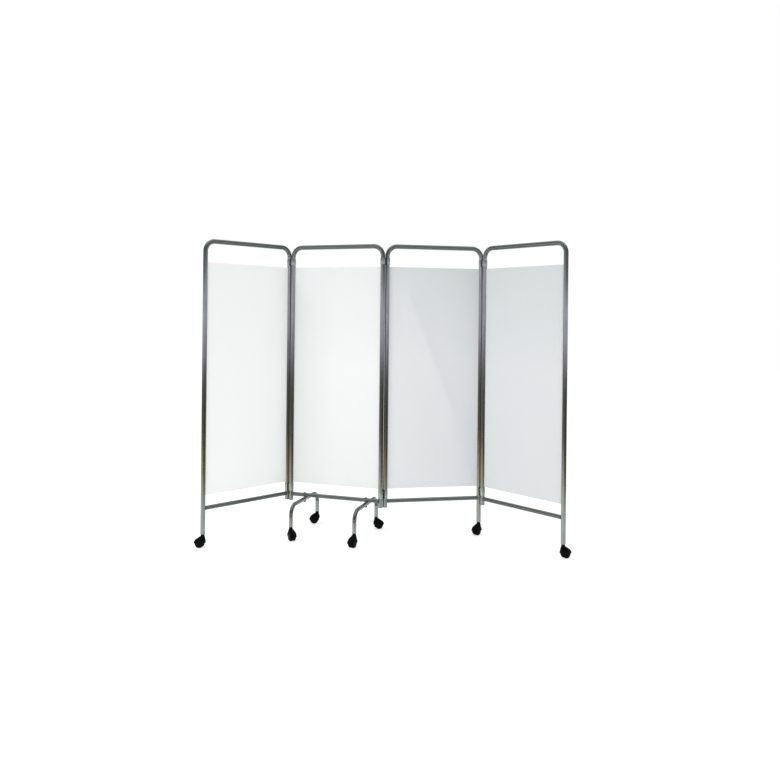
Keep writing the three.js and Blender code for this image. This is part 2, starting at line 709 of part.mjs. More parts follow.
// Panel by panel from the left, each upright is followed by a hinge and the next panel.
function screen() {
  const model = new THREE.Group();
  model.name = "screen";
  const [first, second, third, fourth] = panels();
  first.add(legCastor("outer_left", 0, PANEL_HEADINGS[0]));
  second.add(bowFoot("left", BOW_INSET, PANEL_HEADINGS[1]));
  second.add(bowFoot("right", FRAME_PITCH - BOW_INSET, PANEL_HEADINGS[1]));
  third.add(legCastor("middle", FRAME_PITCH, PANEL_HEADINGS[2]));
  fourth.add(legCastor("outer_right", FRAME_PITCH, PANEL_HEADINGS[3]));

  const place = new THREE.Vector3();
  const step = (length, heading) =>
    new THREE.Vector3(length, 0, 0).applyAxisAngle(
      new THREE.Vector3(0, 0, 1),
      THREE.MathUtils.degToRad(heading),
    );
  [first, second, third, fourth].forEach((panel, index) => {
    panel.position.copy(place);
    model.add(panel);
    place.add(step(FRAME_PITCH, PANEL_HEADINGS[index]));
    if (index < HINGE_HEADINGS.length) {
      const link = hinge(index + 1);
      link.position.copy(place);
      model.add(link);
      place.add(step(HINGE_PITCH, HINGE_HEADINGS[index]));
    }
  });
  return model;
}

// The origin lies under the middle of the whole screen, on the floor.
const model = screen();
model.updateMatrixWorld(true);
const box = new THREE.Box3().setFromObject(model, true);
const middle = box.getCenter(new THREE.Vector3());
model.position.set(-middle.x, -middle.y, -box.min.z);

const part = new THREE.Group();
part.name = "ward_privacy_screen";
part.add(model);

export default part;
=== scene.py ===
"""Looks for a folding ward privacy screen: chromed tube frames, white sheets, hinge clips and castors."""

import json
import logging
import math
from collections.abc import Callable, Iterable, Sequence
from dataclasses import dataclass, field
from enum import Enum

import bmesh
import bpy
from mathutils import Matrix, Vector, noise

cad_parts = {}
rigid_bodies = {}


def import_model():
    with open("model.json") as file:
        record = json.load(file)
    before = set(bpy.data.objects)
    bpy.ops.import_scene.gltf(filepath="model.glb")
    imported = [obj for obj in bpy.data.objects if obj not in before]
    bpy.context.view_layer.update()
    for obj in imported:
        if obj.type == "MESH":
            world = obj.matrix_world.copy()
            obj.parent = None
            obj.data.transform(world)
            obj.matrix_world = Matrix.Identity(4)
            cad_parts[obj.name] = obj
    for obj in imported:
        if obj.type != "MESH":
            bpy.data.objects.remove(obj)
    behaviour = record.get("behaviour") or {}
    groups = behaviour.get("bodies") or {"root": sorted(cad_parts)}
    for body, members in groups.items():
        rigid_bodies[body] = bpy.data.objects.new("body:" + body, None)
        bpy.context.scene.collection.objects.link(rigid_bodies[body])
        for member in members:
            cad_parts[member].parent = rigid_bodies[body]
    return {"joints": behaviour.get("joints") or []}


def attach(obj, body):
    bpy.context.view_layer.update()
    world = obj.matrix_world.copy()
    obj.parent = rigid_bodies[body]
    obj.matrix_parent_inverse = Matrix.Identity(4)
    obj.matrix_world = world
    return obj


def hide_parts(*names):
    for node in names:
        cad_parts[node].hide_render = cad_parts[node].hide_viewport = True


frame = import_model()

LOG = logging.getLogger("ward_screen")
X_AXIS = Vector((1, 0, 0))
Y_AXIS = Vector((0, 1, 0))
Z_AXIS = Vector((0, 0, 1))
FULL_TURN = 2 * math.pi
FIT = 0.0003  # the gap round a piece that sits in another

Colour = tuple[float, float, float]
Socket = bpy.types.NodeSocket


class Slot(Enum):
    """The record's material slots."""

    TUBE = "tube_chrome"
    SHEET = "sheet_cloth"
    CLIP = "clip_steel"
    CASTOR = "castor_plastic"
    PLUG = "plug_plastic"
    ZINC = "zinc_steel"


class Side(Enum):
    """Which of a panel's two uprights a piece belongs to. The value is the way from it into the panel."""

    LEFT = 1
    RIGHT = -1


# Finishes


class Nodes:
    """A node tree that is filled node by node."""

    def __init__(self, tree: bpy.types.NodeTree) -> None:
        """Takes a tree to fill.

        Args:
            tree: the node tree.
        """
        self.tree = tree

    def add(self, kind: str, **values: object) -> bpy.types.Node:
        """Adds a node and sets its properties and unlinked sockets.

        Args:
            kind: the node's Blender type.
            values: properties by name, or socket values by name with spaces as underscores.

        Returns:
            The new node.
        """
        node = self.tree.nodes.new(kind)
        for key, value in values.items():
            if hasattr(node, key):
                setattr(node, key, value)
            else:
                node.inputs[key.replace("_", " ")].default_value = value
        return node

    def link(self, source: Socket, target: Socket) -> None:
        """Joins an output to an input."""
        self.tree.links.new(source, target)

    def spread(self, value: Socket, low: float, high: float, start: float = 0.0, end: float = 1.0) -> Socket:
        """A value mapped from one range to another.

        Args:
            value: the value.
            low: what the range's start becomes.
            high: what the range's end becomes.
            start: where the value's range starts.
            end: where it ends.

        Returns:
            The mapped value, held at both ends.
        """
        ranger = self.add("ShaderNodeMapRange", From_Min=start, From_Max=end, To_Min=low, To_Max=high)
        self.link(value, ranger.inputs["Value"])
        return ranger.outputs["Result"]

    def sum(self, *values: Socket) -> Socket:
        """Adds values up, and holds the total between 0 and 1.

        Args:
            values: what is added.

        Returns:
            The total.
        """
        total = values[0]
        for value in values[1:]:
            adder = self.add("ShaderNodeMath", operation="ADD", use_clamp=value is values[-1])
            self.link(total, adder.inputs[0])
            self.link(value, adder.inputs[1])
            total = adder.outputs["Value"]
        return total

    def mix(self, share: Socket, first: Socket, second: Socket) -> Socket:
        """Two colours mixed.

        Args:
            share: how much of the second there is.
            first: the first colour.
            second: the second colour.

        Returns:
            The mixed colour.
        """
        mixer = self.add("ShaderNodeMix", data_type="RGBA")
        sockets = [socket for socket in mixer.inputs if socket.type == "RGBA"]
        self.link(share, mixer.inputs[0])
        self.link(first, sockets[0])
        self.link(second, sockets[1])
        return next(socket for socket in mixer.outputs if socket.type == "RGBA")

    def ramp(self, value: Socket, stops: Sequence[tuple[float, Colour]]) -> Socket:
        """A value turned into colours.

        Args:
            value: the value from 0 to 1.
            stops: places with their colours, lowest first.

        Returns:
            The colour.
        """
        colours = self.add("ShaderNodeValToRGB")
        points = colours.color_ramp.elements
        while len(points) < len(stops):
            points.new(0.5)
        for point, (place, colour) in zip(points, stops, strict=True):
            point.position = place
            point.color = (*colour, 1.0)
        self.link(value, colours.inputs["Fac"])
        return colours.outputs["Color"]


class Paint(Nodes):
    """A material's nodes, around its main shader."""

    def __init__(self, name: str) -> None:
        """Makes the material with its shader and object coordinates.

        Args:
            name: the material's name.
        """
        self.material = bpy.data.materials.new(name)
        self.material.use_nodes = True
        super().__init__(self.material.node_tree)
        self.shader = self.tree.nodes["Principled BSDF"]
        self.place = self.add("ShaderNodeTexCoord").outputs["Object"]

    def shade(self, **values: Socket | float | Sequence[float]) -> None:
        """Feeds the main shader: outputs are linked, plain values are set.

        Args:
            values: what each input gets, by name with spaces as underscores.
        """
        for key, value in values.items():
            target = self.shader.inputs[key.replace("_", " ")]
            if isinstance(value, Socket):
                self.link(value, target)
            else:
                target.default_value = value

    def stretched(self, scale: Sequence[float]) -> Socket:
        """Object coordinates scaled along each axis.

        Args:
            scale: the three factors.

        Returns:
            The scaled coordinates.
        """
        mapping = self.add("ShaderNodeMapping")
        mapping.inputs["Scale"].default_value = scale
        self.link(self.place, mapping.inputs["Vector"])
        return mapping.outputs["Vector"]

    def noise(self, scale: float, detail: float, place: Socket | None = None) -> Socket:
        """A noise value over the surface.

        Args:
            scale: how many blotches to a metre.
            detail: how many finer octaves it has.
            place: the coordinates, or the object's own.

        Returns:
            The noise value, from 0 to 1.
        """
        cloud = self.add("ShaderNodeTexNoise", Scale=scale, Detail=detail)
        self.link(place or self.place, cloud.inputs["Vector"])
        return cloud.outputs["Fac"]

    def wave(self, scale: float, direction: str) -> Socket:
        """A regular ripple along one axis.

        Args:
            scale: the wave's scale, with about 3.2 ripples to a unit of scale and metre.
            direction: X, Y or Z.

        Returns:
            The ripple's value, from 0 to 1.
        """
        ripple = self.add("ShaderNodeTexWave", bands_direction=direction, Scale=scale, Distortion=0.0)
        self.link(self.place, ripple.inputs["Vector"])
        return ripple.outputs["Fac"]

    def bump(self, height: Socket, depth: float, strength: float = 1.0) -> None:
        """Adds a relief under any that the shader has already.

        Args:
            height: the relief's height, from 0 to 1.
            depth: what a height of 1 stands for, in metres.
            strength: how strongly it shows.
        """
        relief = self.add("ShaderNodeBump", Distance=depth, Strength=strength)
        self.link(height, relief.inputs["Height"])
        normal = self.shader.inputs["Normal"]
        if normal.is_linked:
            self.link(normal.links[0].from_socket, relief.inputs["Normal"])
        self.link(relief.outputs["Normal"], normal)


@dataclass(frozen=True)
class MetalFinish:
    """A bare or plated metal."""

    name: str
    tone: Colour
    worn_tone: Colour
    smooth: float
    dull: float

    def material(self) -> bpy.types.Material:
        """Builds the metal: clouded colour, smudged gloss and fine marks.

        Returns:
            The material.
        """
        paint = Paint(self.name)
        smudge = paint.noise(scale=14.0, detail=4.0)
        paint.shade(
            Metallic=1.0,
            Base_Color=paint.ramp(smudge, [(0.35, self.tone), (0.8, self.worn_tone)]),
            Roughness=paint.spread(smudge, self.smooth, self.dull),
        )
        paint.bump(paint.noise(scale=900.0, detail=2.0), depth=0.000004)
        paint.bump(paint.noise(scale=30.0, detail=1.0), depth=0.00006, strength=0.4)
        return paint.material


@dataclass(frozen=True)
class ClipFinish:
    """The clips' sheet steel: satin on its two rounds, with painted shade, a darker band, in the pinch
    between them.
    """

    name: str
    tone: Colour
    worn_tone: Colour
    # painted shade: the dark colour of the band in the pinch between the rounds
    pinch_shade_tone: Colour = (0.035, 0.038, 0.033)
    recess_middle: float = 0.014
    recess_half: float = 0.0075
    smooth: float = 0.13
    dull: float = 0.24
    recess_dull: float = 0.55

    def material(self) -> bpy.types.Material:
        """Builds the steel: clouded colour and fine upright strokes, with painted shade in the pinch, which
        is also duller.

        Returns:
            The material.
        """
        paint = Paint(self.name)
        paint.shade(Metallic=1.0)
        parts = paint.add("ShaderNodeSeparateXYZ")
        paint.link(paint.place, parts.inputs["Vector"])
        from_middle = paint.add("ShaderNodeMath", operation="SUBTRACT")
        paint.link(parts.outputs["X"], from_middle.inputs[0])
        from_middle.inputs[1].default_value = self.recess_middle
        away = paint.add("ShaderNodeMath", operation="ABSOLUTE")
        paint.link(from_middle.outputs["Value"], away.inputs[0])
        # painted shade: a band round the pinch between the two rounds is darkened in colour where shade falls
        pinch_shade = paint.spread(away.outputs["Value"], 1.0, 0.0, self.recess_half * 0.6, self.recess_half)
        smudge = paint.noise(scale=60.0, detail=4.0)
        steel = paint.ramp(smudge, [(0.35, self.tone), (0.8, self.worn_tone)])
        shaded_steel = paint.ramp(smudge, [(0.45, self.pinch_shade_tone), (1.0, self.worn_tone)])
        paint.shade(Base_Color=paint.mix(pinch_shade, steel, shaded_steel))
        strokes = paint.noise(scale=420.0, detail=2.0, place=paint.stretched((1.0, 1.0, 0.04)))
        clean = paint.spread(strokes, self.smooth, self.dull)
        paint.shade(Roughness=paint.sum(clean, paint.spread(pinch_shade, 0.0, self.recess_dull)))
        paint.bump(strokes, depth=0.000006, strength=0.5)
        return paint.material


@dataclass(frozen=True)
class PlasticFinish:
    """A moulded plastic or rubber."""

    name: str
    tone: Colour
    dusty_tone: Colour
    smooth: float
    dull: float
    shine: float = 0.5
    grain_scale: float = 2600.0
    grain_depth: float = 0.00003

    def material(self) -> bpy.types.Material:
        """Builds the plastic: a little dust in its colour, uneven gloss and a spark-eroded grain.

        Returns:
            The material.
        """
        paint = Paint(self.name)
        dust = paint.noise(scale=55.0, detail=5.0)
        paint.shade(
            Specular_IOR_Level=self.shine,
            Base_Color=paint.ramp(dust, [(0.45, self.tone), (0.85, self.dusty_tone)]),
            Roughness=paint.spread(dust, self.smooth, self.dull),
        )
        paint.bump(paint.noise(self.grain_scale, detail=2.0), self.grain_depth, strength=0.7)
        return paint.material


@dataclass(frozen=True)
class ClothFinish:
    """A white woven sheet with a matt coating. Its colour carries painted shade: it greys along its height
    and, where that share is set, across its width.
    """

    name: str
    tone: Colour
    # painted shade: the tone that the cloth greys to, and where the greying starts and how far across it runs
    painted_shade_tone: Colour
    painted_shade_above: float = 1.25
    painted_shade_reach: float = 0.30
    painted_shade_across: float = 0.0
    clouding: float = 0.12
    smooth: float = 0.62
    dull: float = 0.8
    thread_pitch: float = 0.0009
    weave_depth: float = 0.00009
    crumple_depth: float = 0.0006
    panel_width: float = 0.545
    panel_top: float = 1.52

    def material(self) -> bpy.types.Material:
        """Builds the cloth: its tone with painted shade towards the top and across, clouding, weave relief
        and a soft sheen.

        Returns:
            The material.
        """
        paint = Paint(self.name)
        paint.shade(Sheen_Weight=0.1, Sheen_Roughness=0.5, Specular_IOR_Level=0.2)
        parts = paint.add("ShaderNodeSeparateXYZ")
        paint.link(paint.place, parts.inputs["Vector"])
        # painted shade: the colour greys from the cloth's tone towards the shade tone near the top of the
        # sheet and, where set, towards its right side
        start = self.painted_shade_above - self.painted_shade_reach
        upper = paint.spread(parts.outputs["Z"], 0.0, 1.0 - self.painted_shade_across, start, self.panel_top)
        across = paint.spread(parts.outputs["X"], 0.0, self.painted_shade_across, 0.0, self.panel_width)
        cloud = paint.spread(paint.noise(scale=2.4, detail=3.0), -self.clouding, self.clouding)
        tone = paint.ramp(paint.sum(upper, across, cloud), [(0.0, self.tone), (1.0, self.painted_shade_tone)])
        rough = paint.spread(paint.noise(scale=40.0, detail=4.0), self.smooth, self.dull)
        paint.shade(Base_Color=tone, Roughness=rough)
        scale = FULL_TURN / (20.0 * self.thread_pitch)
        weave = paint.add("ShaderNodeMath", operation="MULTIPLY")
        paint.link(paint.wave(scale, "X"), weave.inputs[0])
        paint.link(paint.wave(scale, "Z"), weave.inputs[1])
        paint.bump(weave.outputs["Value"], self.weave_depth, strength=0.5)
        paint.bump(paint.noise(scale=11.0, detail=2.0), self.crumple_depth, strength=0.35)
        return paint.material


@dataclass
class Finishes:
    """Every finish of the screen, built once."""

    chrome: bpy.types.Material
    weld: bpy.types.Material
    clip: bpy.types.Material
    zinc: bpy.types.Material
    housing: bpy.types.Material
    tread: bpy.types.Material
    hub: bpy.types.Material
    plug: bpy.types.Material
    sheets: list[bpy.types.Material]

    @classmethod
    def build(cls) -> "Finishes":
        """Builds the materials.

        Returns:
            The finishes.
        """
        # painted light and shade: the four sheets are one white cloth in lighter and darker copies, each tone
        # standing in for how light falls on that sheet
        cloths = [
            ClothFinish("sheet_1_cloth", (0.875, 0.885, 0.885), (0.85, 0.86, 0.857)),
            ClothFinish("sheet_2_cloth", (0.735, 0.745, 0.745), (0.665, 0.68, 0.68)),
            ClothFinish(
                "sheet_3_cloth",
                (0.695, 0.705, 0.72),
                (0.55, 0.575, 0.58),
                painted_shade_above=1.45,
                painted_shade_reach=0.45,
                painted_shade_across=0.42,
            ),
            ClothFinish("sheet_4_cloth", (0.632, 0.647, 0.657), (0.555, 0.575, 0.58)),
        ]
        return cls(
            chrome=MetalFinish(
                "chromed_tube", (0.44, 0.45, 0.45), (0.40, 0.41, 0.41), smooth=0.07, dull=0.17
            ).material(),
            weld=MetalFinish(
                "chromed_weld", (0.47, 0.48, 0.48), (0.38, 0.39, 0.38), smooth=0.2, dull=0.4
            ).material(),
            clip=ClipFinish("clip_satin_steel", (0.70, 0.73, 0.72), (0.56, 0.59, 0.58)).material(),
            zinc=MetalFinish(
                "zinc_plate", (0.48, 0.50, 0.50), (0.38, 0.40, 0.38), smooth=0.22, dull=0.42
            ).material(),
            housing=PlasticFinish(
                "castor_housing_plastic",
                tone=(0.0028, 0.0028, 0.0032),
                dusty_tone=(0.0060, 0.0060, 0.0065),
                smooth=0.3,
                dull=0.48,
                shine=0.09,
            ).material(),
            tread=PlasticFinish(
                "castor_tread_rubber",
                tone=(0.0035, 0.0035, 0.0035),
                dusty_tone=(0.010, 0.010, 0.009),
                smooth=0.6,
                dull=0.85,
                shine=0.07,
                grain_scale=1500.0,
                grain_depth=0.00006,
            ).material(),
            hub=PlasticFinish(
                "castor_hub_plastic",
                tone=(0.003, 0.003, 0.0034),
                dusty_tone=(0.006, 0.006, 0.006),
                smooth=0.25,
                dull=0.4,
                shine=0.10,
            ).material(),
            plug=PlasticFinish(
                "plug_plastic_grey",
                tone=(0.10, 0.11, 0.115),
                dusty_tone=(0.16, 0.165, 0.165),
                smooth=0.4,
                dull=0.6,
            ).material(),
            sheets=[cloth.material() for cloth in cloths],
        )


# Mesh making


def sweep_rings(
    mesh: bmesh.types.BMesh,
    path: Sequence[Vector],
    radius: float,
    sides: int,
    reference: Vector,
    closed: bool = False,
) -> list[list[bmesh.types.BMVert]]:
    """Makes rings of vertices round a path.

    Args:
        mesh: the mesh that gets them.
        path: the centre line.
        radius: the rings' radius.
        sides: how many vertices a ring has.
        reference: a direction that is never along the path, which the rings line up with.
        closed: whether the path ends where it starts.

    Returns:
        The rings, in order.
    """
    rings = []
    last = len(path) - 1
    for index, centre in enumerate(path):
        before = path[index - 1] if closed or index > 0 else centre
        after = path[(index + 1) % len(path)] if closed or index < last else centre
        along = (after - before).normalized()
        across = (reference - along * reference.dot(along)).normalized()
        up = along.cross(across)
        ring = []
        for corner in range(sides):
            angle = FULL_TURN * corner / sides
            ring.append(mesh.verts.new(centre + radius * (math.cos(angle) * across + math.sin(angle) * up)))
        rings.append(ring)
    return rings


def bridge(
    mesh: bmesh.types.BMesh, first: Sequence[bmesh.types.BMVert], second: Sequence[bmesh.types.BMVert]
) -> None:
    """Joins two rings of equal size with a band of faces."""
    count = len(first)
    for index in range(count):
        following = (index + 1) % count
        mesh.faces.new((first[index], first[following], second[following], second[index]))


def bridge_row(mesh: bmesh.types.BMesh, rings: Sequence[Sequence[bmesh.types.BMVert]]) -> None:
    """Joins each ring with the next one."""
    for first, second in zip(rings, rings[1:], strict=False):
        bridge(mesh, first, second)


def capped(mesh: bmesh.types.BMesh, rings: Sequence[Sequence[bmesh.types.BMVert]]) -> None:
    """Joins rings into a bar that is closed at both ends."""
    bridge_row(mesh, rings)
    mesh.faces.new(list(reversed(rings[0])))
    mesh.faces.new(rings[-1])


def strip(
    mesh: bmesh.types.BMesh, first: Sequence[bmesh.types.BMVert], second: Sequence[bmesh.types.BMVert]
) -> None:
    """Joins two open rows of as many points each with faces."""
    for at in range(len(first) - 1):
        mesh.faces.new((first[at], first[at + 1], second[at + 1], second[at]))


def swept_bar(
    mesh: bmesh.types.BMesh,
    path: Sequence[Vector],
    radius: float,
    sides: int,
    reference: Vector,
    closed: bool = False,
) -> None:
    """Adds a solid round bar along a path.

    Args:
        mesh: the mesh that gets it.
        path: the centre line.
        radius: the bar's radius.
        sides: how many sides it has.
        reference: a direction that is never along the path.
        closed: whether the path ends where it starts.
    """
    rings = sweep_rings(mesh, path, radius, sides, reference, closed)
    if closed:
        bridge_row(mesh, [*rings, rings[0]])
    else:
        capped(mesh, rings)


def swept_tube(
    mesh: bmesh.types.BMesh, path: Sequence[Vector], radius: float, wall: float, sides: int, reference: Vector
) -> None:
    """Adds a hollow round tube along a path, with its ends open and flat rims between its outer and inner
    walls.

    Args:
        mesh: the mesh that gets it.
        path: the centre line.
        radius: the tube's outer radius.
        wall: its wall thickness.
        sides: how many sides it has.
        reference: a direction that is never along the path.
    """
    outer = sweep_rings(mesh, path, radius, sides, reference)
    inner = sweep_rings(mesh, path, radius - wall, sides, reference)
    bridge_row(mesh, [*outer, *reversed(inner), outer[0]])


def bends(
    centres: tuple[float, float], radius: float, height: float, steps: int
) -> list[tuple[float, float]]:
    """The two quarter rounds of a tube that runs up, across and down again.

    Args:
        centres: where each round's centre lies across.
        radius: the rounds' radius.
        height: the height of their centres.
        steps: how many pieces each round has.

    Returns:
        Pairs of a place across and a height.
    """
    points = []
    for centre, start in zip(centres, (math.pi, math.pi / 2), strict=True):
        for step in range(steps + 1):
            angle = start - step / steps * math.pi / 2
            points.append((centre + radius * math.cos(angle), height + radius * math.sin(angle)))
    return points


def rod(radius: float, low: float, high: float) -> list[tuple[float, float]]:
    """The profile of a plain rod."""
    return [(0.0, low), (radius, low), (radius, high), (0.0, high)]


def softened(
    profile: Sequence[tuple[float, float]], reach: float, steps: int = 4
) -> list[tuple[float, float]]:
    """Rounds the inner corners of an open profile.

    Args:
        profile: the corners as pairs of numbers.
        reach: how far from each corner its rounding starts.
        steps: how many pieces each rounding has.

    Returns:
        The rounded profile.
    """
    rounded = [tuple(profile[0])]
    for before, corner, after in zip(profile, profile[1:], profile[2:], strict=False):
        a, b, c = Vector(before), Vector(corner), Vector(after)
        start = b + (a - b).normalized() * min(reach, (a - b).length / 2)
        end = b + (c - b).normalized() * min(reach, (c - b).length / 2)
        for step in range(steps + 1):
            share = step / steps
            point = start.lerp(b, share).lerp(b.lerp(end, share), share)
            rounded.append((point.x, point.y))
    rounded.append(tuple(profile[-1]))
    return rounded


def turned(
    mesh: bmesh.types.BMesh, profile: Sequence[tuple[float, float]], sides: int, matrix: Matrix | None = None
) -> None:
    """Adds a shape turned about Z.

    Args:
        mesh: the mesh that gets it.
        profile: pairs of radius and height from the bottom up, starting and ending on the axis or closed.
        sides: how many sides it has.
        matrix: where it goes.
    """
    matrix = matrix or Matrix.Identity(4)
    tiny = 1e-7
    rings = []
    for radius, height in profile:
        count = 1 if radius < tiny else sides
        ring = []
        for corner in range(count):
            angle = FULL_TURN * corner / sides
            point = Vector((radius * math.cos(angle), radius * math.sin(angle), height))
            ring.append(mesh.verts.new(matrix @ point))
        rings.append(ring)
    for first, second in zip(rings, rings[1:], strict=False):
        if len(first) == 1 and len(second) == 1:
            continue
        if len(first) == 1:
            for index, vertex in enumerate(second):
                mesh.faces.new((first[0], second[(index + 1) % sides], vertex))
        elif len(second) == 1:
            for index, vertex in enumerate(first):
                mesh.faces.new((vertex, first[(index + 1) % sides], second[0]))
        else:
            bridge(mesh, first, second)


def finished(
    mesh: bmesh.types.BMesh, name: str, material: bpy.types.Material, sharp_angle: float = 34.0
) -> bpy.types.Mesh:
    """Turns a built mesh into mesh data with smooth faces and sharp edges.

    Args:
        mesh: what was built. It is freed.
        name: the mesh data's name.
        material: its finish.
        sharp_angle: edges that turn more than this many degrees stay sharp.

    Returns:
        The mesh data.
    """
    bmesh.ops.remove_doubles(mesh, verts=mesh.verts, dist=1e-6)
    bmesh.ops.recalc_face_normals(mesh, faces=mesh.faces)
    limit = math.radians(sharp_angle)
    for face in mesh.faces:
        face.smooth = True
    for edge in mesh.edges:
        edge.smooth = len(edge.link_faces) == 2 and edge.calc_face_angle() < limit
    data = bpy.data.meshes.new(name)
    mesh.to_mesh(data)
    mesh.free()
    data.materials.append(material)
    return data


def lathed(
    name: str,
    profile: Sequence[tuple[float, float]],
    sides: int,
    material: bpy.types.Material,
    matrix: Matrix | None = None,
    sharp_angle: float = 34.0,
) -> bpy.types.Mesh:
    """Turns a profile into mesh data of its own.

    Args:
        name: the mesh data's name.
        profile: the (radius, height) pairs.
        sides: how many sides the round has.
        material: its finish.
        matrix: where it goes.
        sharp_angle: edges that turn more than this many degrees stay sharp.

    Returns:
        The mesh data.
    """
    mesh = bmesh.new()
    turned(mesh, profile, sides, matrix)
    return finished(mesh, name, material, sharp_angle)


def block(
    name: str, low: Sequence[float], high: Sequence[float], material: bpy.types.Material
) -> bpy.types.Mesh:
    """Makes a box as mesh data of its own.

    Args:
        name: the mesh data's name.
        low: its lowest corner.
        high: its highest corner.
        material: its finish.

    Returns:
        The mesh data.
    """
    mesh = bmesh.new()
    middle = Matrix.Translation((Vector(low) + Vector(high)) / 2)
    size = Matrix.Diagonal((*(Vector(high) - Vector(low)), 1.0))
    bmesh.ops.create_cube(mesh, size=1.0, matrix=middle @ size)
    return finished(mesh, name, material)


def set_down(name: str, data: bpy.types.Mesh, place: Matrix, body: str) -> bpy.types.Object:
    """Makes a piece from mesh data and rides it on a body.

    Args:
        name: the piece's name.
        data: its mesh data.
        place: where it goes in the row's frame.
        body: the body that it moves with.

    Returns:
        The piece.
    """
    piece = bpy.data.objects.new(name, data)
    bpy.context.scene.collection.objects.link(piece)
    piece.matrix_world = place
    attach(piece, body)
    return piece


def carved(name: str, base: bpy.types.Mesh, steps: Iterable[tuple[str, bpy.types.Mesh]]) -> bpy.types.Mesh:
    """Joins meshes to a mesh, or cuts them from it.

    Args:
        name: the result's name.
        base: the mesh to start from.
        steps: pairs of UNION or DIFFERENCE and the other mesh, in order.

    Returns:
        The new mesh data.
    """
    scene = bpy.context.scene.collection.objects
    body = bpy.data.objects.new(name, base)
    scene.link(body)
    tools = []
    for operation, data in steps:
        tool = bpy.data.objects.new(f"{name}_tool", data)
        scene.link(tool)
        tools.append(tool)
        modifier = body.modifiers.new(operation, "BOOLEAN")
        modifier.operation = operation
        modifier.solver = "EXACT"
        modifier.object = tool
    graph = bpy.context.evaluated_depsgraph_get()
    result = bpy.data.meshes.new_from_object(body.evaluated_get(graph))
    result.name = name
    for item in (body, *tools):
        bpy.data.objects.remove(item)
    return result


def joint_place(name: str) -> Vector:
    """A joint's point in the row's frame, on the floor."""
    joint = next(joint for joint in frame["joints"] if joint["name"] == name)
    return Vector((joint["pos_m"][0], joint["pos_m"][1], 0.0))


def standing(origin: Vector, towards: Vector) -> Matrix:
    """The frame at a point on the floor whose X runs towards another point."""
    heading = math.atan2(towards.y - origin.y, towards.x - origin.x)
    return Matrix.Translation(origin) @ Matrix.Rotation(heading, 4, "Z")


# Sub-assemblies


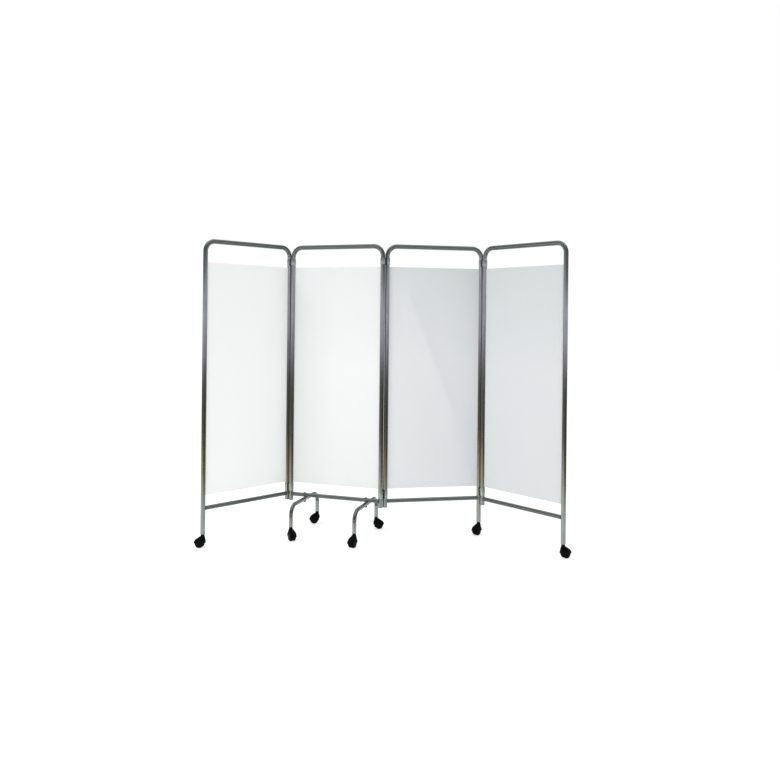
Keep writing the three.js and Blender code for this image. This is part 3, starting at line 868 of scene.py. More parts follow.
@dataclass
class TubeFrame:
    """One panel's bent tube with its two slits, and the lower rail with its welds."""

    number: int
    place: Matrix
    left_end: float
    right_end: float
    pitch: float = 0.545
    height: float = 1.645
    diameter: float = 0.025
    wall: float = 0.0015
    bend_radius: float = 0.055
    bend_steps: int = 14
    rail_diameter: float = 0.022
    rail_height: float = 0.210
    weld_radius: float = 0.0016
    weld_sides: int = 10
    weld_ripple_share: float = 0.35
    weld_ripple_scale: float = 260.0
    weld_seed: int = 1
    slit_width: float = 0.0024
    slit_bottom: float = 0.2765
    slit_top: float = 1.5195
    entry_diameter: float = 0.007
    entry_drop: float = 0.0015
    entry_sides: int = 24
    sides: int = 40

    @property
    def body(self) -> str:
        """The body that the panel's pieces ride on."""
        return f"panel_{self.number}"

    def arch(self) -> list[Vector]:
        """The centre line of the bent tube.

        Returns:
            Its points, up the left upright and down the right one.
        """
        radius, pitch = self.bend_radius, self.pitch
        level = self.height - self.diameter / 2 - radius
        left, right = self.left_end, self.right_end
        rounds = bends((radius, pitch - radius), radius, level, self.bend_steps)
        up, down = [(0.0, left), (0.0, (left + level) / 2)], [(pitch, (right + level) / 2), (pitch, right)]
        return [Vector((x, 0, z)) for x, z in (*up, *rounds, *down)]

    def tube(self) -> bmesh.types.BMesh:
        """The bent tube."""
        mesh = bmesh.new()
        swept_tube(mesh, self.arch(), self.diameter / 2, self.wall, self.sides, Y_AXIS)
        return mesh

    def rail(self) -> bmesh.types.BMesh:
        """The lower rail, whose ends run into the uprights.

        Returns:
            The mesh.
        """
        mesh = bmesh.new()
        reach = self.diameter / 2 - self.wall / 2
        path = [Vector((x, 0, self.rail_height)) for x in (reach, self.pitch / 2, self.pitch - reach)]
        swept_bar(mesh, path, self.rail_diameter / 2, self.sides, Z_AXIS)
        return mesh

    def weld(self, x: float, side: Side) -> list[Vector]:
        """The line where the rail meets an upright.

        Args:
            x: the upright's axis.
            side: which upright it is.

        Returns:
            The closed line's points.
        """
        upright, rail = self.diameter / 2, self.rail_diameter / 2
        line = []
        for step in range(self.sides):
            angle = FULL_TURN * step / self.sides
            y = rail * math.cos(angle)
            out = math.sqrt(max(upright**2 - y**2, 0.0))
            line.append(Vector((x + side.value * out, y, self.rail_height + rail * math.sin(angle))))
        return line

    def welds(self) -> bmesh.types.BMesh:
        """The weld beads at both ends of the rail, slightly uneven as hand welds are.

        Returns:
            The mesh.
        """
        mesh = bmesh.new()
        for x, side in ((0.0, Side.LEFT), (self.pitch, Side.RIGHT)):
            swept_bar(mesh, self.weld(x, side), self.weld_radius, self.weld_sides, X_AXIS, closed=True)
        ripple, scale = self.weld_radius * self.weld_ripple_share, self.weld_ripple_scale
        noise.seed_set(self.weld_seed)
        for vertex in mesh.verts:
            vertex.co += noise.noise_vector(vertex.co * scale) * ripple
        return mesh

    def cuts(self, material: bpy.types.Material) -> list[tuple[str, bpy.types.Mesh]]:
        """What is cut from both uprights: a slit, and the round hole that the sheet's bead goes in by.

        Args:
            material: the finish of the cut faces.

        Returns:
            The cuts for the boolean.
        """
        cuts = []
        half, radius = self.slit_width / 2, self.entry_diameter / 2
        entry = self.slit_top + radius - self.entry_drop
        along = Matrix.Translation((0, 0, entry)) @ Matrix.Rotation(math.pi / 2, 4, "Y")
        for x, side in ((0.0, Side.LEFT), (self.pitch, Side.RIGHT)):
            low, high = sorted((x + side.value * self.diameter / 4, x + side.value * self.diameter))
            slit = block("tube_cut", (low, -half, self.slit_bottom), (high, half, self.slit_top), material)
            hole = lathed("tube_cut", rod(radius, low, high), self.entry_sides, material, along)
            cuts += [("DIFFERENCE", slit), ("DIFFERENCE", hole)]
        return cuts

    def build(self, finishes: Finishes) -> None:
        """Builds the panel's metal pieces and sets them in place of the CAD frame.

        Args:
            finishes: the screen's finishes.
        """
        name = self.body
        whole = finished(self.tube(), f"{name}_tube_whole", finishes.chrome)
        mesh = bmesh.new()
        mesh.from_mesh(carved(f"{name}_tube", whole, self.cuts(finishes.chrome)))
        data = finished(mesh, f"{name}_tube", finishes.chrome)
        tube = set_down(f"{name}_tube", data, self.place, self.body)
        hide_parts(f"frame_{self.number}")
        parts: list[tuple[str, bmesh.types.BMesh, bpy.types.Material]] = [
            ("rail", self.rail(), finishes.chrome),
            ("rail_welds", self.welds(), finishes.weld),
        ]
        for part, mesh, material in parts:
            data = finished(mesh, f"{name}_{part}", material)
            set_down(f"{name}_{part}", data, self.place, self.body)
        LOG.info("panel %d: tube, rail and welds", self.number)


@dataclass(frozen=True)
class Crease:
    """A long soft fold in a sheet. Its ends are shares of the sheet's width and height."""

    start: tuple[float, float]
    end: tuple[float, float]
    depth: float
    breadth: float

    def height(self, across: float, up: float, width: float, length: float) -> float:
        """How far the fold stands out at a place.

        Args:
            across: the place as a share of the width.
            up: the place as a share of the height.
            width: the sheet's width.
            length: the sheet's height.

        Returns:
            The height in metres.
        """
        a = Vector((self.start[0] * width, self.start[1] * length))
        line = Vector((self.end[0] * width, self.end[1] * length)) - a
        place = Vector((across * width, up * length)) - a
        along = min(max(place.dot(line) / line.length_squared, 0.0), 1.0)
        away = (place - line * along).length
        return self.depth * math.exp(-((away / self.breadth) ** 2))


@dataclass
class Sheet:
    """A white sheet that runs through the slits of its two uprights, with hems along its top and bottom."""

    number: int
    place: Matrix
    creases: tuple[Crease, ...]
    pitch: float = 0.545
    bottom: float = 0.278
    top: float = 1.518
    edge: float = 0.0125
    bead_axis: float = 0.0070
    bead_radius: float = 0.0030
    thickness: float = 0.0006
    hem_depth: float = 0.018
    hem_extra: float = 0.0005
    seam_inset: float = 0.003
    columns: int = 72
    rows: int = 150
    hem_step: float = 0.0006
    ripple: float = 0.0011
    seed_step: float = 7.3
    fine_seed_factor: float = 3.1
    slow_scale: tuple[float, float] = (2.1, 3.4)
    fine_scale: tuple[float, float] = (6.5, 5.2)
    slow_share: float = 1.1
    fine_share: float = 0.45
    slack_power: float = 0.7
    stitch_pitch: float = 0.0042
    stitch_run: float = 0.0030
    stitch_radius: float = 0.00022
    stitch_inset: float = 0.002
    bead_sides: int = 14
    bead_end_share: float = 0.6

    @property
    def body(self) -> str:
        """The body that the sheet rides on."""
        return f"panel_{self.number}"

    @property
    def width(self) -> float:
        """The sheet's width between its uprights."""
        return self.pitch - 2 * self.edge

    @property
    def length(self) -> float:
        """The sheet's height."""
        return self.top - self.bottom

    def offset(self, across: float, up: float) -> float:
        """How far the cloth stands out of its plane towards the viewer.

        Args:
            across: the place as a share of the width.
            up: the place as a share of the height.

        Returns:
            The offset in metres.
        """
        held = math.sin(math.pi * across) ** self.slack_power if 0 < across < 1 else 0.0
        folds = sum(crease.height(across, up, self.width, self.length) for crease in self.creases)
        seed = self.number * self.seed_step
        (slow_x, slow_z), (fine_x, fine_z) = self.slow_scale, self.fine_scale
        slow = noise.noise(Vector((across * slow_x + seed, up * slow_z, seed)))
        fine = noise.noise(Vector((across * fine_x + seed, up * fine_z, self.fine_seed_factor * seed)))
        return held * (folds + self.ripple * (self.slow_share * slow + self.fine_share * fine))

    def hem(self, up: float) -> float:
        """How much thicker the cloth is at a height, where it is folded over."""
        from_edge = min(up, 1 - up) * self.length
        return self.hem_extra if from_edge < self.hem_depth else 0.0

    def stations(self) -> list[float]:
        """The grid's columns as shares of the width, with one inside each upright at the bead."""
        inside = (self.edge - self.bead_axis) / self.width
        return [-inside, *[column / self.columns for column in range(self.columns + 1)], 1 + inside]

    def levels(self) -> list[float]:
        """The heights of the grid's rows, with close rows where the hems start.

        Returns:
            The heights as shares.
        """
        hem = self.hem_depth / self.length
        step = self.hem_step / self.length
        even = [row / self.rows for row in range(self.rows + 1)]
        extra = [hem - step, hem + step, 1 - hem - step, 1 - hem + step]
        return sorted({round(level, 6) for level in even + extra})

    def cloth(self) -> bmesh.types.BMesh:
        """The cloth as a thin closed skin.

        Returns:
            The mesh.
        """
        mesh = bmesh.new()
        skins = []
        for sign in (-1, 1):
            skin = []
            for up in self.levels():
                half = (self.thickness + self.hem(up)) / 2
                row = []
                for across in self.stations():
                    x = self.edge + across * self.width
                    y = -self.offset(across, up) + sign * half
                    row.append(mesh.verts.new((x, y, self.bottom + up * self.length)))
                skin.append(row)
            skins.append(skin)
        front, back = skins
        for skin in skins:
            for lower, upper in zip(skin, skin[1:], strict=False):
                strip(mesh, lower, upper)
        for end in (0, -1):
            strip(mesh, [row[end] for row in front], [row[end] for row in back])
            strip(mesh, front[end], back[end])
        return mesh

    def stitches(self, up: float) -> bmesh.types.BMesh:
        """One row of hem stitches on both faces of the cloth.

        Args:
            up: its height as a share of the sheet's.

        Returns:
            The mesh.
        """
        mesh = bmesh.new()
        pitch, run, radius = self.stitch_pitch, self.stitch_run, self.stitch_radius
        count = int((self.width - 2 * self.stitch_inset) / pitch)
        z = self.bottom + up * self.length
        half = (self.thickness + self.hem_extra) / 2
        for index in range(count):
            start = self.stitch_inset + index * pitch
            for sign in (-1, 1):
                path = []
                for share in (0.0, 0.25, 0.75, 1.0):
                    x = start + share * run
                    sunk = 0.0 if share in (0.0, 1.0) else radius * 0.8
                    y = -self.offset(x / self.width, up) + sign * (half + sunk)
                    path.append(Vector((self.edge + x, y, z)))
                swept_bar(mesh, path, radius, 5, Z_AXIS)
        return mesh

    def bead(self, side: Side) -> bmesh.types.BMesh:
        """The cord sewn into one edge of the sheet, inside its upright.

        Args:
            side: which edge it is.

        Returns:
            The mesh.
        """
        x = self.bead_axis if side is Side.LEFT else self.pitch - self.bead_axis
        mesh = bmesh.new()
        path = [Vector((x, 0, self.bottom + share * self.length)) for share in (0.0, 0.002, 0.5, 0.998, 1.0)]
        rings = sweep_rings(mesh, path, self.bead_radius, self.bead_sides, Y_AXIS)
        for ring in (rings[0], rings[-1]):
            centre = sum((vertex.co for vertex in ring), Vector()) / len(ring)
            for vertex in ring:
                vertex.co = centre + (vertex.co - centre) * self.bead_end_share
        capped(mesh, rings)
        return mesh

    def build(self, finishes: Finishes) -> None:
        """Args:
            finishes: the screen's finishes.
        """
        material = finishes.sheets[self.number - 1]
        name = f"sheet_{self.number}"
        data = finished(self.cloth(), f"{name}_cloth", material, sharp_angle=50.0)
        cloth = set_down(f"{name}_cloth", data, self.place, self.body)
        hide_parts(name)
        seam = (self.hem_depth - self.seam_inset) / self.length
        extras = [
            (f"{name}_bead_left", self.bead(Side.LEFT)),
            (f"{name}_bead_right", self.bead(Side.RIGHT)),
            (f"{name}_stitches_bottom", self.stitches(seam)),
            (f"{name}_stitches_top", self.stitches(1 - seam)),
        ]
        pieces = []
        for part, mesh in extras:
            pieces.append(set_down(part, finished(mesh, part, material), self.place, self.body))
        for piece in (cloth, *pieces):
            piece.visible_glossy = False
        LOG.info("sheet %d: cloth, beads and hem stitches", self.number)


@dataclass
class HingeClip:
    """A clip round two neighbouring uprights, wrapped from sheet steel and pinched between them."""

    name: str
    body: str
    place: Matrix
    bottom: float
    height: float
    pitch: float = 0.028
    bore: float = 0.0128
    wall: float = 0.0015
    waist: float = 0.018
    bulge: float = 0.0002
    edge_radius: float = 0.0006
    arc_steps: int = 30
    level_steps: int = 10
    rivet_level_shares: tuple[float, float] = (0.3, 0.7)
    rivet_seat_share: float = 0.985
    rivet_sides: int = 20

    def outline(self, grow: float) -> list[tuple[float, float]]:
        """The clip's outer line in plan.

        Args:
            grow: how far outside the plain line it lies.

        Returns:
            The closed line's points.
        """
        radius = self.bore + self.wall + grow
        pinch = math.asin(self.waist / 2 / radius)
        line = []
        for centre, start in ((0.0, pinch), (self.pitch, pinch - math.pi)):
            for step in range(self.arc_steps + 1):
                angle = start + step / self.arc_steps * (FULL_TURN - 2 * pinch)
                line.append((centre + radius * math.cos(angle), radius * math.sin(angle)))
        return line

    def shape(self) -> bmesh.types.BMesh:
        """The clip's body: an outer wall that swells a little, two bores and flat ends.

        Returns:
            The mesh.
        """
        mesh = bmesh.new()
        levels = []
        for step in range(self.level_steps + 1):
            share = step / self.level_steps
            swell = self.bulge * math.sin(math.pi * share)
            levels.append((self.edge_radius + share * (self.height - 2 * self.edge_radius), swell))
        levels = [(0.0, -self.edge_radius), *levels, (self.height, -self.edge_radius)]
        loops = []
        for height, grow in levels:
            loops.append([mesh.verts.new((x, y, self.bottom + height)) for x, y in self.outline(grow)])
        bridge_row(mesh, loops)
        rims = {0: [loops[0]], 1: [loops[-1]]}
        for centre in (0.0, self.pitch):
            ends = []
            for height in (0.0, self.height):
                ring = []
                for step in range(self.arc_steps):
                    angle = FULL_TURN * step / self.arc_steps
                    x, y = centre + self.bore * math.cos(angle), self.bore * math.sin(angle)
                    ring.append(mesh.verts.new((x, y, self.bottom + height)))
                ends.append(ring)
            bridge(mesh, ends[1], ends[0])
            rims[0].append(ends[0])
            rims[1].append(ends[1])
        for rings in rims.values():
            edges = []
            for ring in rings:
                for index, vertex in enumerate(ring):
                    other = ring[(index + 1) % len(ring)]
                    edges.append(next(edge for edge in vertex.link_edges if other in edge.verts))
            bmesh.ops.triangle_fill(mesh, edges=edges, use_beauty=True)
        return mesh

    def rivets(self) -> bmesh.types.BMesh:
        """The two rivets that close the pinched middle, seen in front and behind.

        Returns:
            The mesh.
        """
        mesh = bmesh.new()
        head = [(0.0, 0.0), (0.0030, 0.0), (0.0030, 0.0006), (0.0022, 0.0015), (0.0, 0.0019)]
        for share in self.rivet_level_shares:
            z = self.bottom + share * self.height
            for sign in (-1, 1):
                turn = Matrix.Rotation(sign * -math.pi / 2, 4, "X")
                spot = Matrix.Translation((self.pitch / 2, sign * self.waist / 2 * self.rivet_seat_share, z))
                turned(mesh, softened(head, reach=0.0006, steps=3), self.rivet_sides, spot @ turn)
        return mesh

    def build(self, finishes: Finishes) -> None:
        """Builds the clip in place of the CAD one.

        Args:
            finishes: the screen's finishes.
        """
        band = set_down(
            f"{self.name}_band",
            finished(self.shape(), f"{self.name}_band", finishes.clip, sharp_angle=28.0),
            self.place,
            self.body,
        )
        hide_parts(self.name)
        rivets = finished(self.rivets(), f"{self.name}_rivets", finishes.zinc)
        set_down(f"{self.name}_rivets", rivets, self.place, self.body)
        LOG.info("%s: band and rivets", self.name)


@dataclass
class BowFoot:
    """A bent tube across the second panel's rail, held by a bolt and a cap nut."""

    side: str
    place: Matrix
    body: str = "panel_2"
    span: float = 0.370
    diameter: float = 0.022
    wall: float = 0.0015
    bend_radius: float = 0.055
    bend_steps: int = 14
    axis_height: float = 0.1875
    leg_end: float = 0.075
    rail_top: float = 0.221
    bolt_radius: float = 0.004
    bolt_reach: float = 0.0074
    head_radius: float = 0.008
    head_height: float = 0.004
    flange_radius: float = 0.0085
    flange_height: float = 0.0018
    nut_corner: float = 0.0073
    nut_height: float = 0.0065
    chamfer_share: float = 0.93
    sides: int = 40
    small_sides: int = 32

    def path(self) -> list[Vector]:
        """The centre line from the front leg's end to the rear leg's end.

        Returns:
            Its points.
        """
        half, radius = self.span / 2, self.bend_radius
        rounds = bends((radius - half, half - radius), radius, self.axis_height - radius, self.bend_steps)
        return [Vector((0, y, z)) for y, z in ((-half, self.leg_end), *rounds, (half, self.leg_end))]

    def bolt(self) -> bmesh.types.BMesh:
        """The domed bolt with its washer on the rail.

        Returns:
            The mesh.
        """
        seat = self.rail_top + FIT
        head = self.head_radius
        low = self.axis_height - self.diameter / 2 - self.bolt_reach
        profile = [
            (0.0, low),
            (self.bolt_radius, low),
            (self.bolt_radius, seat),
            (head, seat),
            (head, seat + 0.0011),
            (head * 0.86, seat + 0.0012),
            (head * 0.80, seat + 0.0026),
            (head * 0.45, seat + self.head_height * 0.93),
            (0.0, seat + self.head_height),
        ]
        mesh = bmesh.new()
        turned(mesh, softened(profile, reach=0.0004, steps=3), self.small_sides)
        return mesh

    def nut(self) -> bmesh.types.BMesh:
        """The flanged cap nut under the bow.

        Returns:
            The mesh.
        """
        mesh = bmesh.new()
        top = self.axis_height - self.diameter / 2 - FIT
        bore, flange_foot = self.bolt_radius + FIT, top - self.flange_height
        flange = [
            (bore, top),
            (self.flange_radius, top),
            (self.flange_radius, (top + flange_foot) / 2),
            (self.flange_radius - 0.0015, flange_foot),
            (bore, flange_foot),
            (bore, top),
        ]
        turned(mesh, softened(flange, reach=0.0003, steps=2), self.small_sides)
        corner, low = self.nut_corner, top - self.nut_height
        bottom = self.hexagon(mesh, corner * self.chamfer_share, low)
        belt = self.hexagon(mesh, corner, low + 0.0007)
        crown = self.hexagon(mesh, corner, flange_foot + 0.0004)
        bridge(mesh, belt, bottom)
        bridge(mesh, crown, belt)
        mesh.faces.new(bottom)
        mesh.faces.new(list(reversed(crown)))
        dome = [
            (0.0, low - 0.0023),
            (0.0024, low - 0.0019),
            (0.0045, low - 0.0007),
            (0.0056, low + 0.0004),
            (0.0, low + 0.0004),
        ]
        turned(mesh, softened(dome, reach=0.0008, steps=3), self.small_sides)
        return mesh

    @staticmethod
    def hexagon(mesh: bmesh.types.BMesh, radius: float, height: float) -> list[bmesh.types.BMVert]:
        """The six corners of a nut at one height.

        Args:
            mesh: the mesh that gets them.
            radius: their distance from the axis.
            height: their height.

        Returns:
            The corners.
        """
        turns = [FULL_TURN * corner / 6 for corner in range(6)]
        return [mesh.verts.new((radius * math.cos(turn), radius * math.sin(turn), height)) for turn in turns]

    def build(self, finishes: Finishes) -> None:
        """Builds the bow foot's tube, bolt and nut.

        Args:
            finishes: the screen's finishes.
        """
        mesh = bmesh.new()
        swept_tube(mesh, self.path(), self.diameter / 2, self.wall, self.sides, X_AXIS)
        name = f"bow_{self.side}"
        data = finished(mesh, f"{name}_tube", finishes.chrome)
        tube = set_down(f"{name}_tube", data, self.place, self.body)
        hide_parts(name)
        for part, built in (("bolt", self.bolt()), ("nut", self.nut())):
            data = finished(built, f"{name}_{part}_domed", finishes.zinc)
            piece = set_down(f"{name}_{part}_domed", data, self.place, self.body)
            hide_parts(f"{name}_{part}")
        LOG.info("bow foot %s: tube, bolt and nut", self.side)


@dataclass
class EndPlug:
    """The plastic plug in the end of a short upright."""

    name: str
    body: str
    place: Matrix
    end: float = 0.178
    radius: float = 0.0125
    inside: float = 0.0107
    head_height: float = 0.003
    length: float = 0.018
    sides: int = 40

    def build(self, finishes: Finishes) -> None:
        """Builds the plug with a rounded foot, a moulding dimple and a plain spigot inside the tube.

        Args:
            finishes: the screen's finishes.
        """
        seat = self.end - FIT
        foot = seat - self.head_height
        profile = [
            (0.0, foot + 0.0008),
            (0.0022, foot + 0.0007),
            (0.0030, foot),
            (self.radius * 0.82, foot),
            (self.radius, foot + self.head_height * 0.55),
            (self.radius, seat),
            (self.inside, seat),
            (self.inside, seat + self.length * 0.85),
            (self.inside * 0.85, seat + self.length),
            (0.0, seat + self.length),
        ]
        name = f"{self.name}_moulded"
        data = lathed(name, softened(profile, reach=0.0007, steps=4), self.sides, finishes.plug)
        piece = set_down(name, data, self.place, self.body)
        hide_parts(self.name)
        LOG.info("%s", self.name)


@dataclass
class CastorKit:
    """The meshes that all the castors share, with the stem's axis at the origin, trailing along +X."""

    dressing: bpy.types.Material | None = None
    height: float = 0.075
    trail: float = 0.017
    wheel_radius: float = 0.024
    face_gap: float = 0.0042
    wheel_width: float = 0.0138
    axle_radius: float = 0.003
    web_half: float = 0.0035
    web_foot: float = 0.015
    hood_edge: float = 0.025
    clearance: float = 0.0262
    hood_wall: float = 0.0024
    front_radius: float = 0.016
    front_height: float = 0.040
    neck_radius: float = 0.0105
    neck_top: float = 0.0725
    dome_top: float = 0.064
    dome_neck: float = 0.009
    dome_cover: float = 0.0003
    seam: float = 0.00012
    cut_turn: float = 0.03
    cut_reach: float = 0.1
    axle_cut_reach: float = 0.01
    bore_gap: float = 0.0004
    upright_radius: float = 0.0125
    upright_bore: float = 0.011
    bow_radius: float = 0.011
    bow_bore: float = 0.0095
    stem_radius: float = 0.004
    stem_bottom: float = 0.0459
    collar_bottom: float = 0.0729
    insert_top: float = 0.1027
    front_steps: int = 9
    front_sweep: float = 160.0
    sides: int = 56
    pin_sides: int = 28

    def about_axle(self) -> Matrix:
        """The frame on the axle whose Z runs along it towards +Y."""
        return Matrix.Translation((self.trail, 0, self.wheel_radius)) @ Matrix.Rotation(-math.pi / 2, 4, "X")

    @property
    def face(self) -> float:
        """A wheel's outer face, from the castor's middle plane."""
        return self.face_gap + self.wheel_width

    def hood(self) -> bpy.types.Mesh:
        """The curved shell over both wheels, as a ring that is cut off level later.

        Returns:
            The mesh data.
        """
        reach, face = self.clearance, self.face
        half = [(reach - 0.0066, face + 0.0004), (reach - 0.0018, face - 0.0016), (reach, face - 0.0062)]
        outer = [
            (reach + self.hood_wall, face - 0.0082),
            (reach + 0.0012, face - 0.0028),
            (reach - 0.0018, face + 0.0004),
            (reach - 0.0048, face + 0.0017),
        ]
        loop = [*half, *[(r, -y) for r, y in reversed(half)], *[(r, -y) for r, y in reversed(outer)], *outer]
        return lathed("castor_hood", [*loop, loop[0]], self.sides, self.dressing, self.about_axle())

    def web(self) -> bpy.types.Mesh:
        """The plate between the wheels.

        Returns:
            The mesh data.
        """
        radius, half = self.clearance + self.hood_wall * 0.4, self.web_half
        return lathed("castor_web", rod(radius, -half, half), self.sides, self.dressing, self.about_axle())

    def dome(self) -> bpy.types.Mesh:
        """The smooth shoulders that run from the neck down over the round front and both wheels.

        Returns:
            The mesh data.
        """
        mesh = bmesh.new()
        steps, sweep = self.front_steps, self.front_sweep
        rings = [(self.neck_radius, self.dome_top), (self.neck_radius, self.dome_top - self.dome_neck)]
        for step in range(1, steps):
            angle = math.radians(sweep * step / steps - sweep / 2)
            rings.append(
                (self.front_radius * math.cos(angle), self.front_height + self.front_radius * math.sin(angle))
            )
        for radius, height in rings:
            for side in range(self.sides):
                turn = FULL_TURN * side / self.sides
                mesh.verts.new((radius * math.cos(turn), radius * math.sin(turn), height))
        reach, face, cover = self.clearance, self.face, self.dome_cover
        arcs = [
            (reach + self.hood_wall + cover, face - 0.0082),
            (reach + 0.0012 + cover, face - 0.0028 + cover),
            (reach - 0.0018 + cover, face + 0.0004 + cover),
        ]
        half_turn = self.sides // 2
        for radius, across in arcs:
            for side in range(half_turn + 1):
                turn = math.radians(180 * side / half_turn)
                for y in (-across, across):
                    mesh.verts.new(
                        (self.trail + radius * math.cos(turn), y, self.wheel_radius + radius * math.sin(turn))
                    )
        bmesh.ops.convex_hull(mesh, input=list(mesh.verts))
        loose = [corner for corner in mesh.verts if not corner.link_faces]
        bmesh.ops.delete(mesh, geom=loose, context="VERTS")
        return finished(mesh, "castor_dome", self.dressing)

    def neck(self) -> bpy.types.Mesh:
        """The round neck that carries the stem.

        Returns:
            The mesh data.
        """
        bottom = self.stem_bottom - self.dome_neck / 2
        radius, top = self.neck_radius - self.dome_cover, self.neck_top
        profile = [(0.0, bottom), (radius, bottom), (radius, top - 0.001), (radius - 0.0008, top), (0.0, top)]
        return lathed("castor_neck", profile, self.sides, self.dressing)

    def below(self, height: float) -> tuple[str, bpy.types.Mesh]:
        """The cut that takes off all that lies under a height.

        Args:
            height: where it ends.

        Returns:
            The cut for the boolean.
        """
        reach = self.cut_reach
        lump = block("castor_cut", (-reach, -reach, -reach), (reach, reach, height), self.dressing)
        return "DIFFERENCE", lump

    def round_cut(self, radius: float, low: float, high: float, matrix: Matrix) -> bpy.types.Mesh:
        """A cylinder that cuts.

        Args:
            radius: its radius.
            low: where it starts along its axis.
            high: where it ends.
            matrix: the frame whose Z is its axis.

        Returns:
            The mesh data.
        """
        return lathed("castor_cut", rod(radius, low, high), self.sides, self.dressing, matrix)

    def housing(self) -> bpy.types.Mesh:
        """The whole housing, joined and cut.

        Returns:
            The mesh data.
        """
        reach, space = self.cut_reach, self.clearance + self.seam
        spaces = []
        for sign in (-1, 1):
            near, far = sorted((sign * (self.web_half - self.seam), sign * reach))
            spaces.append(("DIFFERENCE", self.round_cut(space, near, far, self.about_axle())))
        dome = carved(
            "castor_dome_cut",
            self.dome(),
            [("UNION", self.neck()), self.below(self.hood_edge + self.seam), *spaces],
        )
        hood = carved("castor_hood_cut", self.hood(), [self.below(self.hood_edge)])
        web = carved("castor_web_cut", self.web(), [self.below(self.web_foot)])
        turn, gap, half = Matrix.Rotation(self.cut_turn, 4, "Z"), self.bore_gap, self.axle_cut_reach
        bore = self.round_cut(self.stem_radius + gap, self.stem_bottom - gap, reach, turn)
        axle = self.round_cut(self.axle_radius + FIT, -half, half, self.about_axle() @ turn)
        data = carved(
            "castor_housing_moulded",
            hood,
            [("UNION", web), ("UNION", dome), ("DIFFERENCE", bore), ("DIFFERENCE", axle)],
        )
        mesh = bmesh.new()
        mesh.from_mesh(data)
        return finished(mesh, "castor_housing_moulded", self.dressing, sharp_angle=30.0)

    def stem(self, leg_radius: float, bore_radius: float, material: bpy.types.Material) -> bpy.types.Mesh:
        """The stem with its collar and the insert in the leg.

        Args:
            leg_radius: the leg's outer radius.
            bore_radius: the leg's bore.
            material: its finish.

        Returns:
            The mesh data.
        """
        seat, inside = self.height - FIT, bore_radius - FIT
        profile = [
            (0.0, self.stem_bottom),
            (self.stem_radius * 0.8, self.stem_bottom),
            (self.stem_radius, self.stem_bottom + 0.0008),
            (self.stem_radius, self.collar_bottom),
            (leg_radius, self.collar_bottom),
            (leg_radius, seat),
            (inside, seat),
            (inside, self.insert_top),
            (0.0, self.insert_top),
        ]
        return lathed("castor_stem_turned", softened(profile, reach=0.0004, steps=3), self.sides, material)

    def tread(self, material: bpy.types.Material) -> bpy.types.Mesh:
        """A wheel's rubber tread with a shallow groove.

        Args:
            material: its finish.

        Returns:
            The mesh data.
        """
        rim, inner, outer = self.wheel_radius, self.face_gap, self.face
        middle = (inner + outer - 0.0064) / 2
        profile = [
            (rim - 0.0046, inner + 0.0004),
            (rim - 0.0008, inner),
            (rim, inner + 0.0008),
            (rim, middle - 0.0009),
            (rim - 0.0006, middle - 0.0005),
            (rim - 0.0006, middle + 0.0005),
            (rim, middle + 0.0009),
            (rim - 0.0001, outer - 0.0064),
            (rim - 0.0014, outer - 0.0036),
            (rim - 0.0045, outer - 0.0015),
            (rim - 0.0053, outer - 0.0018),
        ]
        profile = softened(profile, reach=0.0006, steps=3)
        ring = [*profile, profile[0]]
        return lathed("castor_wheel_tread", ring, self.sides, material, self.about_axle(), sharp_angle=40.0)

    def hub(self, material: bpy.types.Material) -> bpy.types.Mesh:
        """A wheel's dished centre with its ring groove and cap.

        Args:
            material: its finish.

        Returns:
            The mesh data.
        """
        rim, inner, outer = self.wheel_radius, self.face_gap, self.face
        bore = self.axle_radius + FIT
        profile = [
            (bore, outer - 0.0020),
            (bore, inner),
            (0.0075, inner),
            (0.0080, inner + 0.0016),
            (rim - 0.0070, inner + 0.0016),
            (rim - 0.0047, inner + 0.0006),
            (rim - 0.0047, outer - 0.0018),
            (rim - 0.0062, outer - 0.0012),
            (0.0118, outer - 0.0005),
            (0.0113, outer - 0.0011),
            (0.0102, outer - 0.0011),
            (0.0097, outer - 0.0004),
            (0.0080, outer),
            (0.0, outer),
        ]
        closed = [(0.0, outer - 0.0020), *softened(profile, reach=0.0004, steps=3)]
        return lathed("castor_wheel_hub", closed, self.sides, material, self.about_axle(), sharp_angle=40.0)

    def axle(self, material: bpy.types.Material) -> bpy.types.Mesh:
        """The pin that both wheels turn on.

        Args:
            material: its finish.

        Returns:
            The mesh data.
        """
        half = self.face - 0.0020 - FIT
        pin = softened(rod(self.axle_radius, -half, half), reach=0.0005, steps=2)
        return lathed("castor_axle_pin", pin, self.pin_sides, material, self.about_axle())

    def make(self, finishes: Finishes) -> "CastorMeshes":
        """Builds every shared mesh.

        Args:
            finishes: the screen's finishes.

        Returns:
            The meshes.
        """
        self.dressing = finishes.housing
        return CastorMeshes(
            housing=self.housing(),
            axle=self.axle(finishes.zinc),
            tread=self.tread(finishes.tread),
            hub=self.hub(finishes.hub),
            upright_stem=self.stem(self.upright_radius, self.upright_bore, finishes.zinc),
            bow_stem=self.stem(self.bow_radius, self.bow_bore, finishes.zinc),
            trail=self.trail,
        )


@dataclass
class CastorMeshes:
    """The shared meshes of the castors."""

    housing: bpy.types.Mesh
    axle: bpy.types.Mesh
    tread: bpy.types.Mesh
    hub: bpy.types.Mesh
    upright_stem: bpy.types.Mesh
    bow_stem: bpy.types.Mesh
    trail: float


